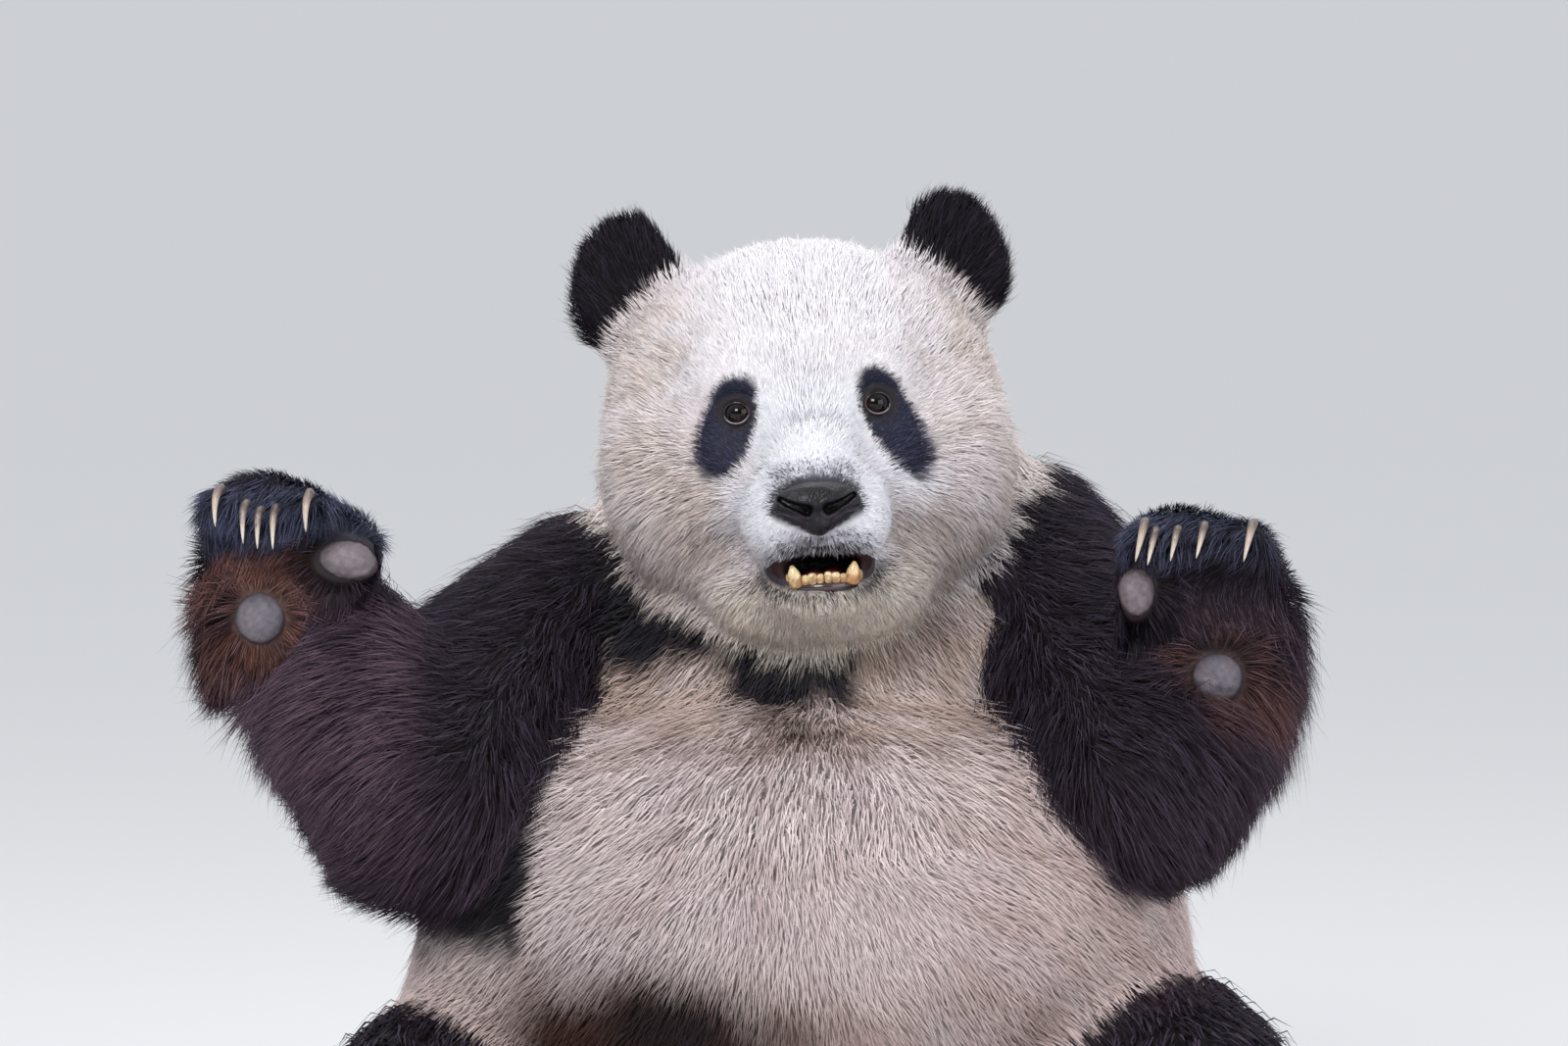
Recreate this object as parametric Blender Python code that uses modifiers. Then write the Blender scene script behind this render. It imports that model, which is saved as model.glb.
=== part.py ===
"""Giant panda, adult, life size: it sits back on its rump with both forepaws raised and its mouth open.

Metres, +Z up. The panda faces -Y, its own right side is at -X. The outer surface of each solid is the
surface of the coat at its hair tips. The body is modelled as a few soft masses, each one a set of
ellipsoids and limbs that a voxel remesh fuses, and the masses are then parted into named pieces.
"""
import math

import bmesh
import bpy
from mathutils import Matrix, Vector

# ---------------------------------------------------------------- driving dimensions
GAP = 0.0003                 # clearance between pieces that touch
MOULD_EASE = 0.0035          # how far the head's mould stands off the head

HEAD_CENTRE = Vector((-0.004, 0.0, 0.600))
HEAD_ROLL = math.radians(-4.0)      # the head leans to its right
HEAD_YAW = math.radians(1.5)

EYE_RADIUS = 0.0122
EYE_PLACE = Vector((0.0512, -0.0975, 0.0346))        # of the left eye, in the head's own frame
NOSE_PLACE = Vector((0.0, -0.2090, -0.0310))
MOUTH_PLACE = Vector((0.0016, -0.1800, -0.0795))
MOUTH_HALF_WIDTH = 0.0390
MOUTH_HALF_HEIGHT = 0.0130
MOUTH_DEPTH = 0.0650
LOWER_CANINE = 0.0160         # height over the gum
UPPER_CANINE = 0.0100
EAR_PLACE = (Vector((-0.1310, 0.0430, 0.1300)), Vector((0.1260, 0.0430, 0.1320)))      # [right, left]
EAR_RADII = Vector((0.0450, 0.0300, 0.0615))
EAR_LEAN = math.radians(-21.0)

# The trunk's soft masses: centre and radii.
RUMP = (Vector((0.0, 0.075, 0.195)), Vector((0.262, 0.245, 0.212)))
BELLY = (Vector((-0.006, -0.070, 0.228)), Vector((0.303, 0.262, 0.200)))
LOWER_BELLY = (Vector((-0.040, -0.090, 0.160)), Vector((0.285, 0.225, 0.150)))
MID_BACK = (Vector((0.0, 0.195, 0.335)), Vector((0.228, 0.190, 0.205)))
CHEST = (Vector((0.0, 0.090, 0.410)), Vector((0.215, 0.185, 0.150)))
WITHERS = (Vector((0.0, 0.185, 0.475)), Vector((0.185, 0.150, 0.140)))
NECK = (Vector((0.004, 0.120, 0.560)), Vector((0.172, 0.125, 0.115)))

# Limbs: the centre line's points with the radius at each, hip or shoulder first. [right, left]
FORELEG = (
    ((Vector((-0.150, 0.140, 0.460)), 0.099), (Vector((-0.232, 0.000, 0.414)), 0.098),
     (Vector((-0.291, -0.174, 0.342)), 0.092), (Vector((-0.328, -0.138, 0.394)), 0.086),
     (Vector((-0.356, -0.100, 0.442)), 0.077)),
    ((Vector((0.148, 0.150, 0.492)), 0.104), (Vector((0.206, 0.000, 0.426)), 0.102),
     (Vector((0.253, -0.182, 0.360)), 0.086), (Vector((0.278, -0.134, 0.392)), 0.081),
     (Vector((0.300, -0.088, 0.426)), 0.068)),
)
HINDLEG = (
    ((Vector((-0.150, -0.010, 0.132)), 0.146), (Vector((-0.235, -0.130, 0.108)), 0.124),
     (Vector((-0.296, -0.235, 0.090)), 0.102), (Vector((-0.270, -0.335, 0.076)), 0.088),
     (Vector((-0.240, -0.415, 0.066)), 0.072)),
    ((Vector((0.150, -0.010, 0.134)), 0.148), (Vector((0.228, -0.140, 0.116)), 0.128),
     (Vector((0.276, -0.245, 0.104)), 0.108), (Vector((0.250, -0.340, 0.082)), 0.092),
     (Vector((0.216, -0.420, 0.066)), 0.072)),
)
TAIL = ((Vector((0.0, 0.238, 0.138)), 0.062), (Vector((0.0, 0.262, 0.098)), 0.068),
        (Vector((0.004, 0.281, 0.062)), 0.060))

# Forepaws: across is measured toward the thumb side, up toward the toes, out along the palm's normal.
FOREPAW_CENTRE = (Vector((-0.391, -0.140, 0.494)), Vector((0.299, -0.140, 0.468)))
FOREPAW_TOES = (
    ((-0.047, 0.000), (-0.0265, 0.013), (-0.0160, 0.017), (-0.0045, 0.017), (0.0200, 0.004)),
    ((-0.028, 0.000), (0.007, 0.004), (0.026, 0.006), (0.043, 0.009), (0.052, 0.000)),
)
CLAW_LEAN = (-0.0030, 0.0085)            # how far a claw's tip leans toward the thumb, for each paw
CLAW_REACH = (0.006, 0.001, 0.000, 0.003, 0.007)     # how far each claw stands out of its toe's fur
FOREPAW_EDGE = -0.037        # where the paw bulges on its outer side
PAW_ARCH = 0.011             # how far the outer toes lie below the middle one
HEEL_PAD_PLACE = ((-0.019, -0.016), (-0.005, -0.031))
THUMB_PAD_PLACE = ((0.046, 0.031), (0.056, 0.033))
HEEL_PAD_RADIUS = 0.0190
THUMB_PAD_RADIUS = 0.0185

HINDPAW_CENTRE = (Vector((-0.236, -0.462, 0.088)), Vector((0.214, -0.466, 0.088)))
HINDPAW_TURN = math.radians(24.0)    # toes point outward
HINDPAW_TOES = (-0.046, -0.024, -0.001, 0.022, 0.044)

SIDES = (("right", -1.0), ("left", 1.0))


# ---------------------------------------------------------------- scene and collections
for old in list(bpy.data.objects):
    bpy.data.objects.remove(old, do_unlink=True)

PARTS = bpy.data.collections.new("giant_panda")
MOULDS = bpy.data.collections.new("moulds")
for group in (PARTS, MOULDS):
    bpy.context.scene.collection.children.link(group)


def material(name, colour, roughness):
    """A Principled material of one colour."""
    made = bpy.data.materials.new(name)
    made.use_nodes = True
    shader = made.node_tree.nodes["Principled BSDF"]
    shader.inputs["Base Color"].default_value = (*colour, 1.0)
    shader.inputs["Roughness"].default_value = roughness
    shader.inputs["Metallic"].default_value = 0.0
    return made


WHITE_FUR = material("white_fur", (0.70, 0.64, 0.56), 0.85)
BLACK_FUR = material("black_fur", (0.020, 0.015, 0.018), 0.80)
EYE_GLASS = material("eye", (0.030, 0.016, 0.010), 0.08)
NOSE_SKIN = material("nose_skin", (0.020, 0.018, 0.022), 0.40)
PAD_SKIN = material("pad_skin", (0.170, 0.150, 0.160), 0.60)
CLAW_HORN = material("claw_horn", (0.560, 0.470, 0.350), 0.35)
TOOTH = material("tooth", (0.700, 0.560, 0.330), 0.30)
TONGUE = material("tongue", (0.330, 0.120, 0.120), 0.45)


# ---------------------------------------------------------------- shapes
def add_ball(bm, centre, radii, turn=None):
    """Adds an ellipsoid to bm; turn is an optional rotation matrix about its centre."""
    place = Matrix.Translation(centre)
    if turn is not None:
        place = place @ turn
    place = place @ Matrix.Diagonal((*radii, 1.0))
    bmesh.ops.create_icosphere(bm, subdivisions=3, radius=1.0, matrix=place)


def add_limb(bm, knots):
    """Adds a limb: balls laid close along the line through knots of (point, radius)."""
    for (start, start_radius), (end, end_radius) in zip(knots, knots[1:]):
        length = (end - start).length
        count = max(2, math.ceil(length / (0.35 * min(start_radius, end_radius))))
        for step in range(count + 1):
            part = step / count
            radius = start_radius + (end_radius - start_radius) * part
            add_ball(bm, start.lerp(end, part), (radius, radius, radius))


def add_mirrored_balls(bm, centre, radii, turn_angle=0.0):
    """Adds a ball and its mirror image across x = 0."""
    for sign in (1.0, -1.0):
        turn = Matrix.Rotation(turn_angle * sign, 4, "Y")
        add_ball(bm, (centre[0] * sign, centre[1], centre[2]), radii, turn)


def new_object(name, bm, finish, collection=PARTS):
    """Makes an object in the collection from bm."""
    mesh = bpy.data.meshes.new(name)
    bm.to_mesh(mesh)
    bm.free()
    made = bpy.data.objects.new(name, mesh)
    made.data.materials.append(finish)
    collection.objects.link(made)
    return made


def new_cutter(bm):
    """Makes an object to cut with from bm."""
    made = new_object("cutter", bm, WHITE_FUR, MOULDS)
    made.hide_render = True
    made.display_type = "WIRE"
    return made


def mesh_copy(source):
    """A bmesh with a copy of the object's mesh."""
    bm = bmesh.new()
    bm.from_mesh(source.data)
    return bm


def mould_of(source, triangles=None, ease=0.0):
    """Keeps the object's present shape, for its neighbours to give way to after it is parted.

    A mould brought down to fewer triangles is eased outward, so that it still covers its source.
    """
    mould = new_cutter(mesh_copy(source))
    if triangles is not None:
        lighten(mould, triangles)
        grow(mould, ease)
    return mould


def apply_modifiers(target):
    """Replaces the object's mesh by its evaluated one and drops its modifiers."""
    depsgraph = bpy.context.evaluated_depsgraph_get()
    baked = bpy.data.meshes.new_from_object(target.evaluated_get(depsgraph))
    finish = target.data.materials[0]
    target.modifiers.clear()
    old = target.data
    target.data = baked
    target.data.materials.clear()
    target.data.materials.append(finish)
    baked.name = target.name
    bpy.data.meshes.remove(old)


def triangle_count(target):
    return sum(len(face.vertices) - 2 for face in target.data.polygons)


def lighten(target, triangles):
    """Brings the object down to about the given number of triangles."""
    decimate = target.modifiers.new("lighten", "DECIMATE")
    decimate.ratio = min(1.0, triangles / triangle_count(target))
    decimate.use_collapse_triangulate = True
    apply_modifiers(target)
    bm = mesh_copy(target)
    bmesh.ops.triangulate(bm, faces=bm.faces[:])
    bm.to_mesh(target.data)
    bm.free()


def light_cutter(bm, triangles):
    """Makes an object of about the given number of triangles from bm, to cut with."""
    made = new_cutter(bm)
    lighten(made, triangles)
    return made


def fuse(target, voxel, rounds, triangles):
    """Fuses the object's overlapping balls to one smooth skin of about the given number of triangles."""
    remesh = target.modifiers.new("fuse", "REMESH")
    remesh.mode = "VOXEL"
    remesh.voxel_size = voxel
    smooth = target.modifiers.new("smooth", "SMOOTH")
    smooth.factor = 0.5
    smooth.iterations = rounds
    apply_modifiers(target)
    lighten(target, triangles)


def grow(target, reach):
    """Pushes the object's surface out by reach along its normals."""
    bm = mesh_copy(target)
    bm.normal_update()
    for vertex in bm.verts:
        vertex.co += vertex.normal * reach
    bm.to_mesh(target.data)
    bm.free()


def grown_copy(source, gap):
    """A copy of source pushed out by gap, to cut with."""
    made = new_cutter(mesh_copy(source))
    grow(made, gap)
    return made


def cut(target, cutter, operation="DIFFERENCE"):
    """Cuts target by cutter, which is used up."""
    boolean = target.modifiers.new("cut", "BOOLEAN")
    boolean.operation = operation
    boolean.solver = "EXACT"
    boolean.object = cutter
    apply_modifiers(target)
    bpy.data.objects.remove(cutter, do_unlink=True)


def make_room(target, *neighbours):
    """Cuts each neighbour, with the clearance, out of target."""
    for neighbour in neighbours:
        cut(target, grown_copy(neighbour, GAP))
    keep_largest(target)


def keep_largest(target):
    """Drops crumbs that a cut left loose and keeps the largest body."""
    bm = bmesh.new()
    bm.from_mesh(target.data)
    bmesh.ops.triangulate(bm, faces=bm.faces[:])
    left = set(bm.verts)
    islands = []
    while left:
        front = [left.pop()]
        island = set(front)
        while front:
            vertex = front.pop()
            for edge in vertex.link_edges:
                other = edge.other_vert(vertex)
                if other in left:
                    left.discard(other)
                    island.add(other)
                    front.append(other)
        islands.append(island)
    largest = max(islands, key=len)
    crumbs = [vertex for island in islands if island is not largest for vertex in island]
    bmesh.ops.delete(bm, geom=crumbs, context="VERTS")
    bmesh.ops.dissolve_degenerate(bm, dist=1e-6, edges=bm.edges[:])
    bmesh.ops.triangulate(bm, faces=bm.faces[:])
    bm.to_mesh(target.data)
    bm.free()


def block(centre, size, turn=None):
    """A box to cut with."""
    bm = bmesh.new()
    place = Matrix.Translation(centre)
    if turn is not None:
        place = place @ turn
    bmesh.ops.create_cube(bm, size=1.0, matrix=place @ Matrix.Diagonal((*size, 1.0)))
    return new_cutter(bm)


def half_space(point, normal):
    """A large box that fills the side of the plane toward normal, and half the clearance behind it."""
    reach = 2.0
    normal = normal.normalized()
    turn = normal.to_track_quat("Z", "Y").to_matrix().to_4x4()
    centre = point + normal * (reach / 2.0 - GAP / 2.0)
    return block(centre, (reach, reach, reach), turn)


def level_on_floor(target):
    """Cuts off what lies below the floor, which leaves a flat at z = 0."""
    cut(target, half_space(Vector((0.0, 0.0, -GAP / 2.0)), Vector((0.0, 0.0, -1.0))))
    keep_largest(target)


def part_by_plane(target, point, normal, name, finish):
    """Splits target at the plane: it keeps the side behind normal, the new object takes the side ahead."""
    ahead = new_object(name, mesh_copy(target), finish)
    cut(ahead, half_space(point, -normal))
    cut(target, half_space(point, normal))
    keep_largest(ahead)
    keep_largest(target)
    return ahead


def horn(name, points, radii, finish):
    """A tapered curved horn along three points, closed at both ends."""
    curve = bpy.data.curves.new(name, "CURVE")
    curve.dimensions = "3D"
    curve.bevel_depth = 1.0
    curve.bevel_resolution = 0
    curve.use_fill_caps = True
    curve.resolution_u = 1
    spline = curve.splines.new("NURBS")
    spline.points.add(len(points) - 1)
    spline.order_u = 3
    spline.use_endpoint_u = True
    for knot, point, radius in zip(spline.points, points, radii):
        knot.co = (*point, 1.0)
        knot.radius = radius
    guide = bpy.data.objects.new(name, curve)
    PARTS.objects.link(guide)
    depsgraph = bpy.context.evaluated_depsgraph_get()
    mesh = bpy.data.meshes.new_from_object(guide.evaluated_get(depsgraph))
    bpy.data.objects.remove(guide, do_unlink=True)
    bm = bmesh.new()
    bm.from_mesh(mesh)
    bmesh.ops.remove_doubles(bm, verts=bm.verts[:], dist=1e-5)
    bmesh.ops.recalc_face_normals(bm, faces=bm.faces[:])
    bmesh.ops.triangulate(bm, faces=bm.faces[:])
    return new_object(name, bm, finish)


# ---------------------------------------------------------------- head
HEAD_FRAME = (Matrix.Translation(HEAD_CENTRE) @ Matrix.Rotation(HEAD_YAW, 4, "Z")
              @ Matrix.Rotation(HEAD_ROLL, 4, "Y"))


def place_in_head(target):
    target.data.transform(HEAD_FRAME)


def build_eye(side, sign):
    bm = bmesh.new()
    bmesh.ops.create_uvsphere(bm, u_segments=10, v_segments=7, radius=EYE_RADIUS)
    eye = new_object(f"eye_{side}", bm, EYE_GLASS)
    eye.data.transform(Matrix.Translation((EYE_PLACE.x * sign, EYE_PLACE.y, EYE_PLACE.z)))
    place_in_head(eye)
    return eye


def build_ear(side, sign):
    """A round ear, its foot set wide on the head, hollowed in front."""
    bm = bmesh.new()
    lean = Matrix.Rotation(EAR_LEAN * sign, 4, "Y")
    place = EAR_PLACE[0 if sign < 0.0 else 1]
    add_ball(bm, place, EAR_RADII, lean)
    root = place + Vector((-0.014 * sign, 0.004, -0.040))
    add_ball(bm, root, (0.040, 0.032, 0.034))
    ear = new_object(f"ear_{side}", bm, BLACK_FUR)
    fuse(ear, 0.005, 6, 120)
    hollow = bmesh.new()
    add_ball(hollow, place + Vector((0.0, -0.035, 0.004)), (0.030, 0.020, 0.042), lean)
    cut(ear, light_cutter(hollow, 60))
    place_in_head(ear)
    return ear


def build_nose():
    """The nose pad: broad above, drawn in to the groove below, with two nostrils."""
    bm = bmesh.new()
    add_ball(bm, NOSE_PLACE + Vector((0.0, 0.004, 0.004)), (0.0310, 0.0150, 0.0135))
    add_mirrored_balls(bm, NOSE_PLACE + Vector((0.0185, 0.005, -0.001)), (0.0155, 0.0130, 0.0145))
    add_ball(bm, NOSE_PLACE + Vector((0.0, 0.004, -0.012)), (0.0120, 0.0110, 0.0120))
    nose = new_object("nose", bm, NOSE_SKIN)
    fuse(nose, 0.0022, 4, 150)
    place_in_head(nose)
    return nose


def build_skull():
    """The whole head without its ears: cranium, cheeks, brow, muzzle and chin."""
    bm = bmesh.new()
    add_ball(bm, (0.0, 0.030, 0.013), (0.161, 0.144, 0.149))
    add_mirrored_balls(bm, (0.086, -0.004, -0.012), (0.077, 0.100, 0.098))
    add_ball(bm, (0.0, 0.004, -0.072), (0.128, 0.106, 0.078))
    add_ball(bm, (0.0, -0.060, -0.104), (0.090, 0.086, 0.048))
    add_mirrored_balls(bm, (0.046, -0.050, 0.050), (0.056, 0.068, 0.062))
    add_ball(bm, (0.0, -0.060, 0.048), (0.060, 0.062, 0.060))
    add_mirrored_balls(bm, (0.066, -0.064, -0.020), (0.052, 0.056, 0.056))
    add_limb(bm, ((Vector((0.0, -0.080, 0.020)), 0.042), (Vector((0.0, -0.172, -0.026)), 0.032)))
    add_ball(bm, (0.0, -0.125, -0.040), (0.062, 0.082, 0.048))
    add_mirrored_balls(bm, (0.026, -0.158, -0.050), (0.034, 0.048, 0.030))
    add_ball(bm, (0.0, -0.112, -0.096), (0.053, 0.080, 0.035))
    skull = new_object("head", bm, WHITE_FUR)
    fuse(skull, 0.0065, 7, 700)
    place_in_head(skull)
    return skull


def mouth_hollow():
    """The open mouth, a flattened hollow that runs back between the jaws."""
    bm = bmesh.new()
    radii = (MOUTH_HALF_WIDTH, MOUTH_DEPTH, MOUTH_HALF_HEIGHT)
    add_ball(bm, MOUTH_PLACE, radii, Matrix.Rotation(math.radians(-6.0), 4, "X"))
    hollow = light_cutter(bm, 100)
    place_in_head(hollow)
    return hollow


def jaw_block(gap):
    """The space of the lower jaw: everything below the mouth's middle and ahead of the throat."""
    half_width = 0.060 - gap
    top = MOUTH_PLACE.z - 0.002 - gap
    bottom = -0.300
    back = -0.055 - gap
    front = -0.400
    centre = Vector((MOUTH_PLACE.x, (back + front) / 2.0, (top + bottom) / 2.0))
    space = block(centre, (2.0 * half_width, back - front, top - bottom))
    place_in_head(space)
    return space


def eye_opening(sign):
    """The opening between the lids, ahead of the eye."""
    bm = bmesh.new()
    place = Vector((EYE_PLACE.x * sign, EYE_PLACE.y - 0.012, EYE_PLACE.z))
    add_ball(bm, place, (0.0118, 0.0150, 0.0105))
    opening = light_cutter(bm, 40)
    place_in_head(opening)
    return opening


def tooth_row(name, height, reach, up, canine):
    """One jaw's front teeth joined by their gum: six incisors between two canines."""
    bm = bmesh.new()
    base = Vector((MOUTH_PLACE.x, reach, height))
    for step in range(13):
        angle = math.radians(-60.0 + 10.0 * step)
        point = base + Vector((0.0290 * math.sin(angle), 0.020 * (1.0 - math.cos(angle)), 0.0))
        add_ball(bm, point, (0.0052, 0.0050, 0.0042))
    for step in range(6):
        angle = math.radians(-30.0 + 12.0 * step)
        point = base + Vector((0.0290 * math.sin(angle), 0.020 * (1.0 - math.cos(angle)), 0.0042 * up))
        add_ball(bm, point, (0.0030, 0.0026, 0.0052))
    for sign in (1.0, -1.0):
        foot = base + Vector((0.0225 * sign, 0.0075, 0.002 * up))
        tip = base + Vector((0.0240 * sign, 0.0030, canine * up))
        add_limb(bm, ((foot, 0.0050), (foot.lerp(tip, 0.5), 0.0040), (tip, 0.0016)))
    row = new_object(name, bm, TOOTH)
    fuse(row, 0.0011, 1, 130)
    place_in_head(row)
    return row


def build_tongue():
    bm = bmesh.new()
    base = MOUTH_PLACE + Vector((0.0, 0.030, -0.009))
    add_limb(bm, ((base + Vector((0.0, 0.016, 0.0)), 0.0130), (base, 0.0120),
                  (base + Vector((0.0, -0.022, 0.001)), 0.0090)))
    tongue = new_object("tongue", bm, TONGUE)
    tongue.data.transform(Matrix.Translation(base) @ Matrix.Diagonal((1.7, 1.0, 0.6, 1.0))
                          @ Matrix.Translation(-base))
    fuse(tongue, 0.003, 4, 70)
    place_in_head(tongue)
    return tongue


def build_head():
    """The head's pieces: head, jaw, ears, eyes, nose, teeth and tongue. Returns moulds of head and ears."""
    eyes = [build_eye(side, sign) for side, sign in SIDES]
    nose = build_nose()
    head = build_skull()
    whole_head = mould_of(head, 440, MOULD_EASE)
    ears = [build_ear(side, sign) for side, sign in SIDES]
    for ear in ears:
        make_room(ear, whole_head)
    for (_, sign), eye in zip(SIDES, eyes):
        cut(head, eye_opening(sign))
        cut(head, grown_copy(eye, GAP))
    cut(head, grown_copy(nose, GAP))
    cut(head, mouth_hollow())
    keep_largest(head)
    jaw = new_object("jaw", mesh_copy(head), WHITE_FUR)
    cut(jaw, jaw_block(GAP), "INTERSECT")
    keep_largest(jaw)
    cut(head, jaw_block(0.0))
    keep_largest(head)
    lower = tooth_row("teeth_lower", MOUTH_PLACE.z - 0.0120, -0.1900, 1.0, LOWER_CANINE)
    upper = tooth_row("teeth_upper", MOUTH_PLACE.z + 0.0155, -0.1960, -1.0, UPPER_CANINE)
    make_room(lower, jaw)
    make_room(upper, head)
    tongue = build_tongue()
    make_room(tongue, jaw, head, lower)
    return (whole_head, *[mould_of(ear) for ear in ears])


# ---------------------------------------------------------------- trunk and tail
def build_trunk(neighbours):
    """The trunk and neck as one mass, leaned back, parted into neck, chest, belly and rump.

    Returns a mould of the whole.
    """
    bm = bmesh.new()
    for centre, radii in (RUMP, BELLY, LOWER_BELLY, MID_BACK, CHEST, WITHERS, NECK):
        add_ball(bm, centre, radii)
    rump = new_object("rump", bm, WHITE_FUR)
    fuse(rump, 0.014, 14, 615)
    level_on_floor(rump)
    make_room(rump, *neighbours)
    whole_trunk = mould_of(rump)
    part_by_plane(rump, Vector((0.0, 0.12, 0.512)), Vector((0.0, -0.22, 1.0)), "neck", WHITE_FUR)
    part_by_plane(rump, Vector((0.0, 0.05, 0.372)), Vector((0.0, -0.18, 1.0)), "chest", BLACK_FUR)
    part_by_plane(rump, Vector((0.0, -0.01, 0.200)), Vector((0.0, -1.0, 0.10)), "belly", WHITE_FUR)
    return whole_trunk


def build_tail(trunk):
    bm = bmesh.new()
    add_limb(bm, TAIL)
    tail = new_object("tail", bm, WHITE_FUR)
    fuse(tail, 0.009, 5, 100)
    make_room(tail, trunk)


# ---------------------------------------------------------------- paws
def paw_frame(centre, across, up, out):
    """A paw's frame from its centre and its three directions."""
    axes = Matrix((across, up, out)).transposed().to_4x4()
    return Matrix.Translation(centre) @ axes


def build_claw(name, frame, points, thickness):
    radii = (thickness, 0.92 * thickness, 0.62 * thickness, 0.10 * thickness)
    return horn(name, [frame @ Vector(point) for point in points], radii, CLAW_HORN)


def build_pad(name, frame, place, radius, depth):
    """A low round pad of bare skin on the palm or sole."""
    bm = bmesh.new()
    bmesh.ops.create_uvsphere(bm, u_segments=8, v_segments=5, radius=radius)
    pad = new_object(name, bm, PAD_SKIN)
    pad.data.transform(frame @ Matrix.Translation((place[0], place[1], depth))
                       @ Matrix.Diagonal((1.0, 1.0, 0.62, 1.0)))
    pad.data.update()
    return pad


def build_forepaw(index, side, sign):
    """A forepaw held palm forward with its five toes curled over; returns the paw and its pads."""
    thumbward = Vector((-sign, 0.0, 0.0))
    frame = paw_frame(FOREPAW_CENTRE[index], thumbward, Vector((0.0, 0.0, 1.0)), Vector((0.0, -1.0, 0.0)))
    bm = bmesh.new()
    add_ball(bm, frame @ Vector((0.004, 0.004, -0.010)), (0.061, 0.036, 0.076))
    add_ball(bm, frame @ Vector((-0.012, -0.032, -0.010)), (0.050, 0.040, 0.048))
    add_ball(bm, frame @ Vector((0.047, 0.032, -0.002)), (0.029, 0.036, 0.038))
    add_ball(bm, frame @ Vector((FOREPAW_EDGE, 0.018, -0.006)), (0.029, 0.034, 0.052))
    claw_roots = []
    for number, (across, drop) in enumerate(FOREPAW_TOES[index]):
        arch = PAW_ARCH * ((number - 2.0) / 2.0) ** 2
        knuckle = frame @ Vector((across, 0.058 - arch, -0.014))
        middle = frame @ Vector((across, 0.083 - arch, 0.022))
        tip = frame @ Vector((across, 0.079 - drop, 0.052))
        add_limb(bm, ((knuckle, 0.0235), (middle, 0.0190), (tip, 0.0145)))
        claw_roots.append((across, 0.079 - drop))
    paw = new_object(f"forepaw_{side}", bm, BLACK_FUR)
    fuse(paw, 0.0050, 4, 345)
    claws = []
    for number, ((across, up), reach) in enumerate(zip(claw_roots, CLAW_REACH), start=1):
        leaning = across + CLAW_LEAN[index]
        points = ((across, up + 0.008, 0.046 + reach), (across, up + 0.005, 0.065 + reach),
                  (0.4 * across + 0.6 * leaning, up - 0.008, 0.071 + reach), (leaning, up - 0.020, 0.064 + reach))
        claw = build_claw(f"claw_fore_{side}_{number}", frame, points, 0.0040)
        make_room(claw, paw, *claws)
        claws.append(claw)
    heel = build_pad(f"pad_heel_{side}", frame, HEEL_PAD_PLACE[index], HEEL_PAD_RADIUS, 0.0200)
    thumb = build_pad(f"pad_thumb_{side}", frame, THUMB_PAD_PLACE[index], THUMB_PAD_RADIUS, 0.0270)
    make_room(heel, paw)
    make_room(thumb, paw, heel)
    return paw, heel, thumb


def build_hindpaw(index, side, sign):
    """A hind foot that stands on its heel, sole forward and toes up; returns the foot and its pad."""
    turn = Matrix.Rotation(HINDPAW_TURN * sign, 4, "Y")
    across = turn @ Vector((1.0, 0.0, 0.0))
    frame = paw_frame(HINDPAW_CENTRE[index], across, turn @ Vector((0.0, 0.0, 1.0)), Vector((0.0, -1.0, 0.0)))
    bm = bmesh.new()
    add_ball(bm, frame @ Vector((0.0, -0.046, -0.004)), (0.046, 0.044, 0.048))
    add_ball(bm, frame @ Vector((0.0, 0.006, -0.002)), (0.056, 0.034, 0.066), turn)
    for place in HINDPAW_TOES:
        arch = 0.012 * (place / 0.046) ** 2
        knuckle = frame @ Vector((place * 0.92, 0.040 - arch, -0.006))
        tip = frame @ Vector((place, 0.076 - arch, 0.004))
        add_limb(bm, ((knuckle, 0.0200), (tip, 0.0165)))
    foot = new_object(f"hindfoot_{side}", bm, BLACK_FUR)
    fuse(foot, 0.0055, 4, 250)
    level_on_floor(foot)
    for number, place in enumerate(HINDPAW_TOES, start=1):
        rise = 0.076 - 0.012 * (place / 0.046) ** 2
        points = ((place, rise + 0.006, -0.004), (place, rise + 0.020, -0.004),
                  (place, rise + 0.029, 0.008), (place, rise + 0.024, 0.024))
        claw = build_claw(f"claw_hind_{side}_{number}", frame, points, 0.0040)
        make_room(claw, foot)
    pad = build_pad(f"pad_sole_{side}", frame, (0.0, 0.024), 0.030, 0.0200)
    make_room(pad, foot)
    return foot, pad


# ---------------------------------------------------------------- legs
def bend_plane(knots, middle):
    """The plane that halves a limb's bend at the knot of that number."""
    point = knots[middle][0]
    toward_start = (knots[middle - 1][0] - point).normalized()
    toward_end = (knots[middle + 1][0] - point).normalized()
    return point, toward_end - toward_start


def build_leg(knots, names, neighbours, triangles):
    """A leg in two lengths, parted at its bend, that gives way to its neighbours.

    Returns a mould of the whole.
    """
    bm = bmesh.new()
    add_limb(bm, knots)
    upper = new_object(names[0], bm, BLACK_FUR)
    fuse(upper, 0.010, 8, triangles)
    level_on_floor(upper)
    make_room(upper, *neighbours)
    whole_leg = mould_of(upper)
    point, normal = bend_plane(knots, 2)
    part_by_plane(upper, point, normal, names[1], BLACK_FUR)
    return whole_leg


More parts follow.
